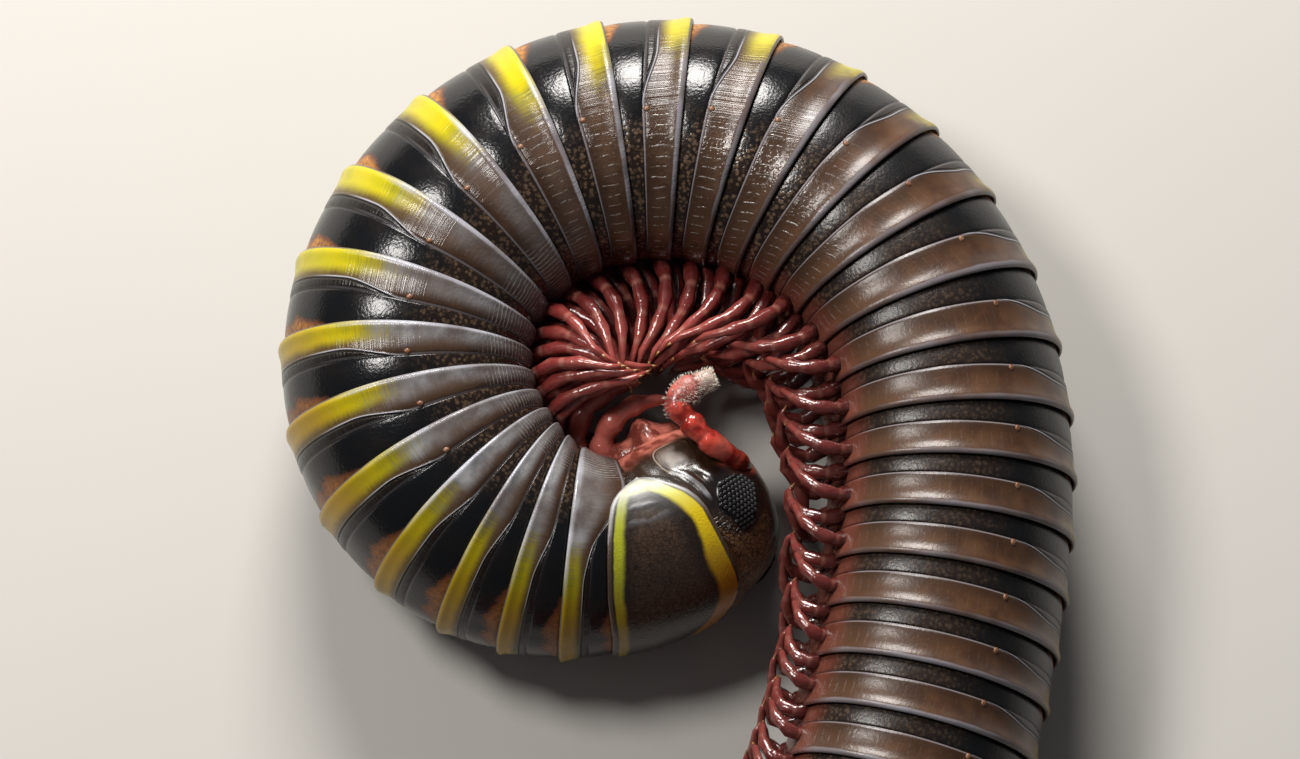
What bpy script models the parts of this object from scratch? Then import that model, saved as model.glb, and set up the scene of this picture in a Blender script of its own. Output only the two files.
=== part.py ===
"""A bumblebee millipede curled up on its right side, at life size.

Metres, +Z up, with the floor at z = 0 and the origin under the middle of the
whole animal. The head lies in the front of the coil and looks along +X, the
body winds left, over the far side and back along the right, and the tail is
laid out on the floor in front. The left flank faces up.
"""

import math

import bmesh
import bpy
import numpy as np
from mathutils import Matrix, Vector

MM = 0.001

BODY_RADIUS = 3.5 * MM
RING_COUNT = 46
HEAD_LENGTH = 2.45 * MM
TELSON_LENGTH = 1.9 * MM

# ring number and its length along the midline, mm: the collar first, short rings behind it
PITCHES = (
    (1, 2.1), (2, 1.0), (4, 1.0), (5, 1.18), (6, 1.36), (7, 1.45), (8, 1.42), (9, 1.53), (10, 1.7), (11, 1.78),
    (12, 1.82), (13, 1.73), (14, 1.66), (19, 1.66), (22, 1.4), (27, 1.4), (31, 1.54), (42, 1.54), (46, 0.92),
)

# how the rings widen behind the head and narrow before the tail's tip
NECK_SHARE = 0.75
NECK_RINGS = 7
TAPER_RINGS = 6
TAIL_SHARE = 0.7

# each ring: a narrower front part, the seam, and the raised rear edge
FRONT_SHARE = 0.955
SEAM_SHARE = 0.975
SEAM_PLACE = 0.5
STEP_LENGTH = 0.06 * MM
VENTER_FLAT = 0.12
SIDES = 20

# the coil: distance along the midline and its radius of curvature there, mm
BENDS = (
    (0, 4.4), (5.1, 4.7), (10.76, 5.4), (17.37, 7.0), (24.03, 7.05), (29.02, 8.8), (33.48, 16.4), (39.08, 123),
    (46.44, 15), (68, 14),
)
COLLUM_MIDDLE = (1.813 * MM, 4.073 * MM)
COLLUM_HEADING = 199.6

# how far the back leans up out of the coil's plane: ring number and degrees
ROLLS = ((0, 20), (13, 20), (15, 16), (19, -12), (26, -12), (33, 0), (46, 0))

FLAT_DEPTH = 0.1 * MM
GAP = 0.3 * MM
TRACE_STEP = 0.05 * MM

TRUNK_LENGTHS = ((2, 7), (8, 12), (13, 17), (18, 23), (24, 30), (31, 37), (38, 45))

LEG_LENGTH = 3.4 * MM
LEG_ROOT_DEPTH = 0.74
LEG_ROOT_SIDE = 0.16
LEG_RADIUS = 0.26 * MM
CLAW_RADIUS = 0.1 * MM
LEG_SPACING = 0.66 * MM
LEG_LEAN = 10
LEG_STRIDE = 2.4
LEG_SPREAD = 80
LEG_BENDS = ((2, 40), (6, 30), (16, 32), (19, 72), (27, 72), (31, 50))
LEG_SHARES = ((17, 1), (20, 0.9), (28, 0.86), (31, 0.95))
LEG_REACHES = ((2, 0.75), (6, 0.84), (16, 0.88), (18, 0.78), (21, 0.66), (26, 0.6), (30, 0.66))
LEG_STEPS = 4
LEG_SIDES = 4
LEG_FLOOR = 0.35 * MM
LEG_LOOP_CLEARANCE = 0.75 * MM
HEAD_CLEARANCE = 2.95 * MM
LAST_LEG_RING = 44

# the head's blunt front, its swollen cheeks and the notch over the mouth
HEAD_STATIONS = (0.32, 0.5, 0.66, 0.8, 0.91, 0.97)
CHEEK_SHARE = 0.05
LIP_SHARE = 0.1

# places on the head: ahead of its back, toward the animal's back, toward its left
EYE_PLACE = (1.3 * MM, 1.26 * MM, 1.8 * MM)
EYE_OUTWARD = (0.38, 0.53, 0.75)
EYE_LONG_WAY = (-0.66, 1.23, -0.56)
EYE_SIZE = (0.6 * MM, 0.78 * MM, 0.36 * MM)
EYE_GAP = 0.27 * MM

# the same in mm, from the socket to the tip; the right antenna is folded under the face
LEFT_ANTENNA = (
    (2.17, 0.26, 2.24), (1.84, 0.05, 2.7), (1.54, -0.3, 2.9), (1.35, -0.95, 3.15),
    (1.38, -1.41, 3.4), (1.96, -1.48, 3.4), (2.6, -1.37, 3.38),
)
RIGHT_ANTENNA = (
    (2.3, 0.05, -2.2), (2.4, -0.8, -1.92), (2.1, -1.66, -1.66), (1.62, -2.3, -1.44), (1.15, -2.66, -1.34),
    (0.6, -2.88, -1.22),
)
ANTENNA_RADIUS = 0.33 * MM
ANTENNA_STATIONS = 19

PAINT = {
    "shell": ((0.028, 0.02, 0.016), 0.22),
    "collar": ((0.05, 0.032, 0.02), 0.25),
    "head": ((0.07, 0.035, 0.02), 0.3),
    "eye": ((0.004, 0.004, 0.005), 0.12),
    "antenna": ((0.35, 0.05, 0.03), 0.35),
}


def ring_share(ring):
    """How wide a ring is, beside the middle of the body."""
    grown = min(1, max(0, (ring - 1) / NECK_RINGS))
    shrunk = min(1, max(0, (ring - RING_COUNT + TAPER_RINGS) / TAPER_RINGS))
    front = NECK_SHARE + (1 - NECK_SHARE) * math.sin(grown * math.pi / 2)
    return front * (1 - (1 - TAIL_SHARE) * shrunk**1.6)


def between(table, place):
    """Reads a table of pairs at a place between its rows."""
    places, values = zip(*table)
    return np.interp(place, places, values)


def ring_ends():
    """Distance along the midline of each ring's rear edge, from the head's back."""
    pitches = between(PITCHES, np.arange(1, RING_COUNT + 1)) * MM
    return np.concatenate([[0], np.cumsum(pitches)])


RING_ENDS = ring_ends()


class Midline:
    """The line through the middle of the body, with the body's own directions along it."""

    def __init__(self):
        self.s = np.arange(0, RING_ENDS[-1] + TRACE_STEP, TRACE_STEP)
        ring = np.interp(self.s, RING_ENDS, np.arange(RING_COUNT + 1))
        self.bend = between([(place, 1 / (radius * MM)) for place, radius in BENDS], self.s / MM)
        turned = self.running_sum(self.bend)
        middle = RING_ENDS[1] / 2
        self.heading = math.radians(COLLUM_HEADING) - (turned - np.interp(middle, self.s, turned))
        x = self.running_sum(np.cos(self.heading))
        y = self.running_sum(np.sin(self.heading))
        self.x = x + COLLUM_MIDDLE[0] - np.interp(middle, self.s, x)
        self.y = y + COLLUM_MIDDLE[1] - np.interp(middle, self.s, y)
        middles = np.arange(RING_COUNT) + 0.5
        shares = [ring_share(number) for number in range(1, RING_COUNT + 1)]
        self.radius = BODY_RADIUS * np.interp(ring, middles, shares)
        self.roll = np.radians(between(ROLLS, ring))

    @staticmethod
    def running_sum(values):
        return np.concatenate([[0], np.cumsum((values[1:] + values[:-1]) / 2 * TRACE_STEP)])

    def at(self, name, s):
        return float(np.interp(s, self.s, getattr(self, name)))

    def centre(self, s):
        """Past either end the line runs straight on."""
        beyond = min(0, s) + max(0, s - RING_ENDS[-1])
        heading = self.at("heading", s)
        x = self.at("x", s) + beyond * math.cos(heading)
        y = self.at("y", s) + beyond * math.sin(heading)
        return Vector((x, y, self.at("radius", s) - FLAT_DEPTH))

    def directions(self, s):
        """Tailward, dorsal and left unit vectors."""
        heading = self.at("heading", s)
        roll = self.at("roll", s)
        tailward = Vector((math.cos(heading), math.sin(heading), 0))
        outward = Vector((-math.sin(heading), math.cos(heading), 0))
        up = Vector((0, 0, 1))
        dorsal = outward * math.cos(roll) + up * math.sin(roll)
        left = up * math.cos(roll) - outward * math.sin(roll)
        return tailward, dorsal, left

    def stretch(self, s, angle, reach):
        """How much longer the body's side is than the midline, at an angle from the back."""
        if s < 0:
            return 1
        return 1 + self.at("bend", s) * reach * math.cos(angle + self.at("roll", s))

    def surface(self, s, angle, reach):
        _, dorsal, left = self.directions(s)
        return self.centre(s) + dorsal * reach * math.cos(angle) + left * reach * math.sin(angle)


BODY = Midline()


def side_angles():
    return [2 * math.pi * side / SIDES for side in range(SIDES)]


def section_share(angle):
    """Round on the back and sides, flatter underneath."""
    turn = abs(math.remainder(angle, 2 * math.pi))
    return 1 - VENTER_FLAT * ease(math.degrees(turn), 125, 180)


def ease(value, start, end):
    """Rises smoothly from 0 to 1 between two values."""
    share = min(1, max(0, (value - start) / (end - start)))
    return share * share * (3 - 2 * share)


def collum_front(angle):
    """The collar's front edge bows forward on the flank and draws back below it."""
    turn = abs(math.degrees(math.remainder(angle, 2 * math.pi)))
    bow = ease(turn, 5, 50) * (1 - ease(turn, 55, 90))
    return (-0.15 - 0.15 * bow + 0.65 * ease(turn, 72, 104)) * MM


def collum_rear(angle):
    """The second ring reaches forward below the collar's lobe."""
    turn = abs(math.degrees(math.remainder(angle, 2 * math.pi)))
    return -0.75 * ease(turn, 52, 97) * MM


def body_loop(s, share, shift=None, gap=0.0):
    """Points round the body at one place, moved along it by shift(angle) and by a straight gap."""
    loop = []
    for angle in side_angles():
        reach = BODY.at("radius", s) * share * section_share(angle)
        place = s + (shift(angle) if shift else 0)
        place += gap / BODY.stretch(place, angle, reach)
        loop.append(BODY.surface(place, angle, reach))
    return loop


def loft(loops, start, end):
    """A closed mesh through the loops, with a point in the middle of each end."""
    mesh = bmesh.new()
    rows = [[mesh.verts.new(point) for point in loop] for loop in loops]
    for row, following in zip(rows, rows[1:]):
        for i, vertex in enumerate(row):
            j = (i + 1) % len(row)
            mesh.faces.new((vertex, row[j], following[j], following[i]))
    for row, tip in ((rows[0], start), (rows[-1], end)):
        middle = mesh.verts.new(tip)
        for i, vertex in enumerate(row):
            mesh.faces.new((vertex, row[(i + 1) % len(row)], middle))
    bmesh.ops.triangulate(mesh, faces=mesh.faces[:])
    bmesh.ops.recalc_face_normals(mesh, faces=mesh.faces[:])
    return mesh


def trim_at_floor(mesh):
    """Cuts off what reaches below z = 0, which leaves a small flat to rest on."""
    everything = mesh.verts[:] + mesh.edges[:] + mesh.faces[:]
    bmesh.ops.bisect_plane(mesh, geom=everything, plane_co=(0, 0, 0), plane_no=(0, 0, 1), clear_inner=True)
    rim = [edge for edge in mesh.edges if edge.is_boundary]
    bmesh.ops.holes_fill(mesh, edges=rim, sides=0)
    for vertex in mesh.verts:
        if abs(vertex.co.z) < 1e-3 * MM:
            vertex.co.z = 0
    bmesh.ops.triangulate(mesh, faces=mesh.faces[:])
    bmesh.ops.recalc_face_normals(mesh, faces=mesh.faces[:])


def material(name):
    if name in bpy.data.materials:
        return bpy.data.materials[name]
    colour, roughness = PAINT[name]
    made = bpy.data.materials.new(name)
    made.use_nodes = True
    shader = made.node_tree.nodes["Principled BSDF"]
    shader.inputs["Base Color"].default_value = (*colour, 1)
    shader.inputs["Roughness"].default_value = roughness
    shader.inputs["Metallic"].default_value = 0
    return made


def add_object(name, mesh, paint, collection):
    data = bpy.data.meshes.new(name)
    mesh.to_mesh(data)
    mesh.free()
    made = bpy.data.objects.new(name, data)
    data.materials.append(material(paint))
    collection.objects.link(made)
    return made


def evaluated_mesh(made):
    graph = bpy.context.evaluated_depsgraph_get()
    return bpy.data.meshes.new_from_object(made.evaluated_get(graph))


def keep_largest_surface(data):
    """Drops every closed surface of a mesh but the one with the largest box."""
    mesh = bmesh.new()
    mesh.from_mesh(data)
    bmesh.ops.remove_doubles(mesh, verts=mesh.verts[:], dist=1e-4 * MM)
    left = set(mesh.verts)
    groups = []
    while left:
        group = set()
        front = [left.pop()]
        while front:
            vertex = front.pop()
            group.add(vertex)
            for edge in vertex.link_edges:
                other = edge.other_vert(vertex)
                if other in left:
                    left.discard(other)
                    front.append(other)
        groups.append(group)
    largest = max(groups, key=len)
    loose = [vertex for group in groups if group is not largest for vertex in group]
    bmesh.ops.delete(mesh, geom=loose, context="VERTS")
    bmesh.ops.triangulate(mesh, faces=mesh.faces[:])
    mesh.to_mesh(data)
    mesh.free()


def combine(made, pieces, operation):
    """Joins a list of mesh objects to one object, or cuts them out of it, and removes them."""
    group = bpy.data.collections.new(made.name + "_pieces")
    bpy.context.scene.collection.children.link(group)
    for piece in pieces:
        group.objects.link(piece)
    boolean = made.modifiers.new("Combine", "BOOLEAN")
    boolean.operand_type = "COLLECTION"
    boolean.collection = group
    boolean.operation = operation
    boolean.solver = "MANIFOLD"
    bpy.context.view_layer.update()
    data = evaluated_mesh(made)
    keep_largest_surface(data)
    made.modifiers.clear()
    old = made.data
    made.data = data
    data.name = made.name
    bpy.data.meshes.remove(old)
    for piece in pieces:
        bpy.data.objects.remove(piece)
    bpy.data.collections.remove(group)


def tube(points, radii, sides, turn=0.0):
    """A closed tapering tube of few sides along a list of points."""
    loops = []
    normal = None
    for i, point in enumerate(points):
        ahead = points[min(i + 1, len(points) - 1)] - points[max(i - 1, 0)]
        ahead.normalize()
        if normal is None:
            normal = ahead.orthogonal().normalized()
        normal = (normal - ahead * normal.dot(ahead)).normalized()
        across = ahead.cross(normal)
        loop = []
        for side in range(sides):
            angle = turn + 2 * math.pi * side / sides
            loop.append(point + (normal * math.cos(angle) + across * math.sin(angle)) * radii[i])
        loops.append(loop)
    first = points[0] - (points[1] - points[0]).normalized() * radii[0] * 0.4
    last = points[-1] + (points[-1] - points[-2]).normalized() * radii[-1]
    return loft(loops, first, last)


def trunk_loops(first, last):
    """The stepped outline of the rings from first to last."""
    loops = []
    for ring in range(first, last + 1):
        start = RING_ENDS[ring - 1]
        end = RING_ENDS[ring]
        if ring == 2:
            loops.append(body_loop(start, FRONT_SHARE, collum_rear, GAP / 2))
        elif ring == first:
            loops.append(body_loop(start, FRONT_SHARE, gap=GAP / 2))
        else:
            loops.append(body_loop(start + STEP_LENGTH, FRONT_SHARE))
        loops.append(body_loop(start + (end - start) * SEAM_PLACE, SEAM_SHARE))
        if ring == last:
            loops.append(body_loop(end, 1, gap=-GAP / 2))
        else:
            loops.append(body_loop(end, 1))
    return loops


def leg_places(first, last):
    """Where a length's legs stand: two pairs a ring, or as many as fit evenly in a tight bend."""
    rings = [ring for ring in range(first, last + 1) if ring <= LAST_LEG_RING]
    start = RING_ENDS[rings[0] - 1]
    end = RING_ENDS[rings[-1]]
    steps = np.linspace(start, end, 60)
    under = [BODY.stretch(s, math.pi, BODY.at("radius", s) * (1 - VENTER_FLAT)) for s in steps]
    along = np.concatenate([[0], np.cumsum((np.array(under[1:]) + under[:-1]) / 2 * np.diff(steps))])
    count = min(2 * len(rings), int(along[-1] / LEG_SPACING))
    marks = (np.arange(count) + 0.5) * along[-1] / count
    return np.interp(marks, along, steps)


def leg_points(s, side, lean):
    """An arc from inside the belly wall outward and down to the claw, in the ring's own plane."""
    _, dorsal, left = BODY.directions(s)
    radius = BODY.at("radius", s)
    ring = np.interp(s, RING_ENDS, np.arange(RING_COUNT + 1))
    length = LEG_LENGTH * (0.4 + 0.6 * radius / BODY_RADIUS) * between(LEG_SHARES, ring)
    bend = math.radians(between(LEG_BENDS, ring))
    root = radius * LEG_ROOT_DEPTH
    free = 1 / BODY.at("bend", s) - LEG_LOOP_CLEARANCE - root
    reach = min(length * between(LEG_REACHES, ring), free)
    middle = math.acos(min(1, reach * bend / length / math.sin(bend)))
    middle = min(middle, math.radians(LEG_SPREAD) - bend) + math.radians(lean)
    point = BODY.centre(s) - dorsal * root + left * side * radius * LEG_ROOT_SIDE
    points = [point]
    for step in range(LEG_STEPS):
        angle = middle + bend * (1 - 2 * (step + 0.5) / LEG_STEPS)
        ahead = left * side * math.sin(angle) - dorsal * math.cos(angle)
        point = point + ahead * length / LEG_STEPS
        points.append(point)
    return points


def bend_clear(point, radius, first, last):
    """Keeps a leg's point over the floor, off the head and on its own side of the cuts at both ends."""
    point = point.copy()
    head_middle = head_point(HEAD_LENGTH * 0.25, 0, 0)
    from_head = point - head_middle
    if from_head.length < HEAD_CLEARANCE + radius:
        point = head_middle + from_head.normalized() * (HEAD_CLEARANCE + radius)
    point.z = max(point.z, LEG_FLOOR)
    for s, sign in ((RING_ENDS[first - 1], 1), (RING_ENDS[last], -1)):
        tailward, _, _ = BODY.directions(s)
        room = (point - BODY.centre(s)).dot(tailward) * sign - GAP / 2 - radius - 0.03 * MM
        if room < 0:
            point -= tailward * sign * room
    return point


def leg_objects(first, last, group):
    legs = []
    for number, s in enumerate(leg_places(first, last)):
        for side in (1, -1):
            lean = LEG_LEAN * math.sin(LEG_STRIDE * number)
            radii = [LEG_RADIUS, LEG_RADIUS, LEG_RADIUS * 0.95, LEG_RADIUS * 0.8, CLAW_RADIUS]
            points = []
            for point, radius in zip(leg_points(s, side, lean), radii):
                points.append(bend_clear(point, radius, first, last))
            mesh = tube(points, radii, LEG_SIDES)
            legs.append(add_object(f"leg_{first}_{number}_{side}", mesh, "antenna", group))
    return legs


def add_trunk_length(number, first, last, collection):
    loops = trunk_loops(first, last)
    start = BODY.centre(RING_ENDS[first - 1]) + BODY.directions(RING_ENDS[first - 1])[0] * GAP / 2
    end = BODY.centre(RING_ENDS[last]) - BODY.directions(RING_ENDS[last])[0] * GAP / 2
    mesh = loft(loops, start, end)
    trim_at_floor(mesh)
    made = add_object(f"trunk_{number}", mesh, "shell", collection)
    combine(made, leg_objects(first, last, collection), "UNION")
    return made


def add_collum(collection):
    """The broad first ring, a shield with a lobe on each side."""
    end = RING_ENDS[1]

    def middle(angle):
        return (collum_front(angle) + collum_rear(angle)) / 2

    loops = [
        body_loop(0, FRONT_SHARE, collum_front, GAP / 2),
        body_loop(end * 0.5, 1, middle),
        body_loop(end, 1, collum_rear, -GAP / 2),
    ]
    start_point = BODY.centre(0) + BODY.directions(0)[0] * GAP / 2
    end_point = BODY.centre(end) - BODY.directions(end)[0] * GAP / 2
    mesh = loft(loops, start_point, end_point)
    trim_at_floor(mesh)
    return add_object("collum", mesh, "collar", collection)


def head_point(ahead, dorsal, left):
    """A place given in the head's own directions, from the middle of its back."""
    tailward, up, side = BODY.directions(0)
    return BODY.centre(0) - tailward * ahead + up * dorsal + side * left


def head_vector(ahead, dorsal, left):
    return (head_point(ahead, dorsal, left) - head_point(0, 0, 0)).normalized()


def add_head(collection, eye_pockets):
    """A blunt helmet that looks away from the body, with the mouth at its lower front."""
    loops = [body_loop(0, FRONT_SHARE, collum_front, -GAP / 2)]
    radius = BODY.at("radius", 0) * FRONT_SHARE
    for share in HEAD_STATIONS:
        width = (1 - share**2.4) ** (1 / 2.6)
        loop = []
        for angle in side_angles():
            turn = abs(math.degrees(math.remainder(angle, 2 * math.pi)))
            cheek = CHEEK_SHARE * ease(turn, 85, 115) * (1 - ease(turn, 128, 150)) * (1 - ease(share, 0.45, 0.8))
            lip = LIP_SHARE * ease(turn, 150, 172) * ease(share, 0.3, 0.6)
            reach = radius * (section_share(angle) + cheek - lip) * width
            ahead = share * HEAD_LENGTH
            loop.append(head_point(ahead, reach * math.cos(angle), reach * math.sin(angle)))
        loops.append(loop)
    mesh = loft(loops, head_point(GAP / 2, 0, 0), head_point(HEAD_LENGTH, 0, 0))
    trim_at_floor(mesh)
    made = add_object("head", mesh, "head", collection)
    combine(made, eye_pockets, "DIFFERENCE")
    return made


def eye_solid(name, side, margin, collection):
    """A flattened lens, or with a margin the pocket that holds it."""
    outward = head_vector(EYE_OUTWARD[0], EYE_OUTWARD[1], EYE_OUTWARD[2] * side)
    long_way = head_vector(EYE_LONG_WAY[0], EYE_LONG_WAY[1], EYE_LONG_WAY[2] * side)
    long_way = (long_way - outward * outward.dot(long_way)).normalized()
    across = long_way.cross(outward)
    place = head_point(EYE_PLACE[0], EYE_PLACE[1], EYE_PLACE[2] * side)
    turn = Matrix((across, long_way, outward)).transposed().to_4x4()
    size = Matrix.Diagonal([length + margin for length in EYE_SIZE]).to_4x4()
    mesh = bmesh.new()
    bmesh.ops.create_uvsphere(mesh, u_segments=12, v_segments=8, radius=1)
    bmesh.ops.transform(mesh, matrix=Matrix.Translation(place) @ turn @ size, verts=mesh.verts[:])
    bmesh.ops.triangulate(mesh, faces=mesh.faces[:])
    bmesh.ops.recalc_face_normals(mesh, faces=mesh.faces[:])
    return add_object(name, mesh, "eye", collection)


def curve_through(points, count):
    """Evenly parted places on a smooth curve through a few points."""
    places = []
    for i in range(len(points) - 1):
        before = points[max(0, i - 1)]
        after = points[min(len(points) - 1, i + 2)]
        for step in range(12):
            t = step / 12
            a, b = points[i], points[i + 1]
            places.append(((2 * a) + (b - before) * t + (2 * before - 5 * a + 4 * b - after) * t * t
                           + (3 * a - before - 3 * b + after) * t**3) / 2)
    places.append(points[-1])
    lengths = [0.0]
    for a, b in zip(places, places[1:]):
        lengths.append(lengths[-1] + (b - a).length)
    even = []
    for mark in np.linspace(0, lengths[-1], count):
        i = min(len(places) - 2, int(np.searchsorted(lengths, mark, side="right")) - 1)
        part = (mark - lengths[i]) / (lengths[i + 1] - lengths[i])
        even.append(places[i].lerp(places[i + 1], part))
    return even


def add_antenna(name, route, collection):
    """Seven joints, each widest at its far end, and a rounded club."""
    points = curve_through([head_point(*(value * MM for value in place)) for place in route], ANTENNA_STATIONS)
    radii = []
    for i in range(ANTENNA_STATIONS):
        share = i / (ANTENNA_STATIONS - 1)
        swell = 0.5 + 0.5 * math.cos(2 * math.pi * 6 * share + math.pi)
        club = ease(share, 0.7, 0.86)
        radii.append(ANTENNA_RADIUS * (0.82 + 0.14 * swell + 0.14 * club))
    radii[-1] *= 0.6
    return add_object(name, tube(points, radii, 8), "antenna", collection)


def add_telson(collection):
    """The tail's blunt tip."""
    start = RING_ENDS[RING_COUNT - 1]
    tailward, dorsal, left = BODY.directions(start)
    centre = BODY.centre(start)
    radius = BODY.at("radius", start)
    loops = []
    for share in (0, 0.4, 0.7, 0.9):
        width = (1 - share**2.2) ** (1 / 2.2)
        middle = centre + tailward * (GAP / 2 + share * TELSON_LENGTH)
        loop = []
        for angle in side_angles():
            reach = radius * section_share(angle) * width
            loop.append(middle + dorsal * reach * math.cos(angle) + left * reach * math.sin(angle))
        loops.append(loop)
    tip = centre + tailward * (GAP / 2 + TELSON_LENGTH)
    mesh = loft(loops, centre + tailward * GAP / 2, tip)
    trim_at_floor(mesh)
    return add_object("telson", mesh, "shell", collection)


def main():
    for old in list(bpy.data.objects):
        bpy.data.objects.remove(old)
    collection = bpy.data.collections.new("millipede")
    bpy.context.scene.collection.children.link(collection)
    pockets = []
    for name, side in (("left", 1), ("right", -1)):
        eye_solid(f"{name}_eye", side, 0, collection)
        pockets.append(eye_solid(f"{name}_pocket", side, EYE_GAP, collection))
    add_head(collection, pockets)
    add_antenna("left_antenna", LEFT_ANTENNA, collection)
    add_antenna("right_antenna", RIGHT_ANTENNA, collection)
    add_collum(collection)
    for number, (first, last) in enumerate(TRUNK_LENGTHS, start=1):
        add_trunk_length(number, first, last, collection)
    add_telson(collection)


main()
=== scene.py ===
"""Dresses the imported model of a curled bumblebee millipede: banded rings, head, eyes, feelers and legs.

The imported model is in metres, +Z up, with the floor at z = 0. The midline's values are those of the solids.
"""

import itertools
import math

import bmesh
import bpy
import numpy as np
from bpy.props import FloatProperty, FloatVectorProperty, PointerProperty
from bpy.types import Operator, Panel, PropertyGroup
from mathutils import Matrix, Vector
from mathutils.bvhtree import BVHTree


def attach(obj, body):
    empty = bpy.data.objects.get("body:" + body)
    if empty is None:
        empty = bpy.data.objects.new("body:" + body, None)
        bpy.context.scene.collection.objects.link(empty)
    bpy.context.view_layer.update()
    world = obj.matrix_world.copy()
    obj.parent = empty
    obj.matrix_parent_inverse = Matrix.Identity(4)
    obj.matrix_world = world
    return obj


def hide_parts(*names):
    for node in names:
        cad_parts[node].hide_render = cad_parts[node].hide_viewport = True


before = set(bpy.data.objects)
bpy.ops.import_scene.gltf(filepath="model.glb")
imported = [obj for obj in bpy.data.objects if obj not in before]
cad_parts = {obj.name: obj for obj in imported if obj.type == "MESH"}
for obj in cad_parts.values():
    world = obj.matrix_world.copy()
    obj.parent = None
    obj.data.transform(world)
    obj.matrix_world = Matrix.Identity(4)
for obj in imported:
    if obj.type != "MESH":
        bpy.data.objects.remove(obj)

bl_info = {
    "name": "Curled bumblebee millipede",
    "version": (1, 0, 0),
    "blender": (4, 5, 0),
    "location": "3D View > Sidebar > Millipede",
    "description": "Builds the rings, head, eyes, feelers and legs of a curled millipede",
    "category": "Add Mesh",
}

MM = 0.001

BODY_RADIUS = 3.5 * MM
RING_COUNT = 46
HEAD_LENGTH = 2.45 * MM
TELSON_LENGTH = 1.9 * MM
NECK_SHARE = 0.75
NECK_RINGS = 7
TAPER_RINGS = 6
TAIL_SHARE = 0.7
FRONT_SHARE = 0.955
VENTER_FLAT = 0.12

# ring number and its length along the midline, mm
PITCHES = (
    (1, 2.1), (2, 1.0), (4, 1.0), (5, 1.18), (6, 1.36), (7, 1.45), (8, 1.42), (9, 1.53), (10, 1.7),
    (11, 1.78), (12, 1.82), (13, 1.73), (14, 1.66), (19, 1.66), (22, 1.4), (27, 1.4), (31, 1.54), (42, 1.54),
    (46, 0.92),
)
# distance along the midline and its radius of curvature there, mm
BENDS = (
    (0, 4.4), (5.1, 4.7), (10.76, 5.4), (17.37, 7.0), (24.03, 7.05), (29.02, 8.8), (33.48, 16.4),
    (39.08, 123), (46.44, 15), (68, 14),
)
COLLUM_MIDDLE = (1.813 * MM, 4.073 * MM)
COLLUM_HEADING = 199.6
ROLLS = ((0, 20), (13, 20), (15, 16), (19, -12), (26, -12), (33, 0), (46, 0))
FLAT_DEPTH = 0.1 * MM
TRACE_STEP = 0.05 * MM
TRUNK_LENGTHS = ((2, 7), (8, 12), (13, 17), (18, 23), (24, 30), (31, 37), (38, 45))

COLUMNS = 112
HEAD_COLUMNS = 180
HEAD_ROWS = 64
DOME_MESH = {"u_segments": 8, "v_segments": 5}
WELD = 1e-7
PLACE = "place"

# one ring from front to rear: its zone, the place in that zone and the share of the body's radius
RING_PROFILE = (
    ("hidden", 1.0, 0.925), ("hidden", 0.5, 0.942),
    ("front", 0.03, 0.951), ("front", 0.2, 0.957), ("front", 0.4, 0.961), ("front", 0.6, 0.963),
    ("front", 0.8, 0.964), ("front", 0.93, 0.964), ("front", 0.98, 0.962),
    ("rear", 0.0, 0.955), ("rear", 0.03, 0.959), ("rear", 0.065, 0.967), ("rear", 0.12, 0.970),
    ("rear", 0.25, 0.971), ("rear", 0.4, 0.972), ("rear", 0.55, 0.975), ("rear", 0.66, 0.981),
    ("rear", 0.75, 0.989), ("rear", 0.82, 0.997), ("rear", 0.87, 1.0), ("rear", 0.92, 0.999),
    ("rear", 0.96, 0.995), ("rear", 0.99, 0.988), ("rear", 1.0, 0.980),
    ("under", 0.985, 0.972), ("under", 0.93, 0.966), ("under", 0.8, 0.962),
)
HIDDEN_REACH = 0.12
# how far the second ring reaches forward below the collar's lobe
COLLAR_LAP = 0.95 * MM
PORE_ANGLE = 70
FIRST_PORE_RING = 6
PORE_SIZE = (0.1 * MM, 0.08 * MM, 0.045 * MM)

COLLAR_APEX = 100
# the collar's shield from its front edge over the top and back inside: place and share of the body's radius
COLLAR_PROFILE = (
    (0.0, 0.958), (0.0, 0.975), (0.012, 0.985), (0.04, 0.991), (0.07, 0.989), (0.1, 0.992), (0.2, 0.999),
    (0.35, 1.005), (0.5, 1.007), (0.65, 1.006), (0.8, 1.003), (0.9, 0.999), (0.95, 0.997), (0.985, 0.994),
    (1.0, 0.985), (1.0, 0.968), (0.9, 0.955), (0.5, 0.952), (0.1, 0.95),
)

LEG_ROOT_DEPTH = 0.74
LEG_ROOT_SIDE = 0.16
LEG_LOOP_CLEARANCE = 0.75 * MM
LEG_FLOOR = 0.22 * MM
LEG_SIDES = 6
LAST_LEG_RING = 44
HEAD_CLEARANCE = 2.55 * MM
# by ring: degrees that half a leg bends through, its length and how far it reaches, less beside the head
LEG_BENDS = ((2, 40), (6, 30), (16, 36), (19, 86), (27, 90), (31, 60))
LEG_SHARES = ((17, 1), (20, 0.74), (23, 0.7), (25, 0.5), (30, 0.5), (34, 0.9))
LEG_REACHES = ((2, 0.75), (6, 0.84), (16, 0.88), (18, 0.78), (21, 0.66), (26, 0.6), (30, 0.66))
# by ring: how far the first legs lean toward the mouth, mm
LEG_FORWARDS = ((4, 0.9), (6, 0.3), (8, 0))
LEG_SPREAD = 80
LEG_LEANS = (9, -13)
# a leg's place along its length and its thickness there, with a waist at each joint
LEG_PROFILE = (
    (0.0, 1.0), (0.2, 1.02), (0.33, 1.1), (0.4, 0.78), (0.53, 1.02), (0.63, 0.7), (0.73, 0.88), (0.81, 0.56),
    (0.92, 0.46), (1.0, 0.24),
)
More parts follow.
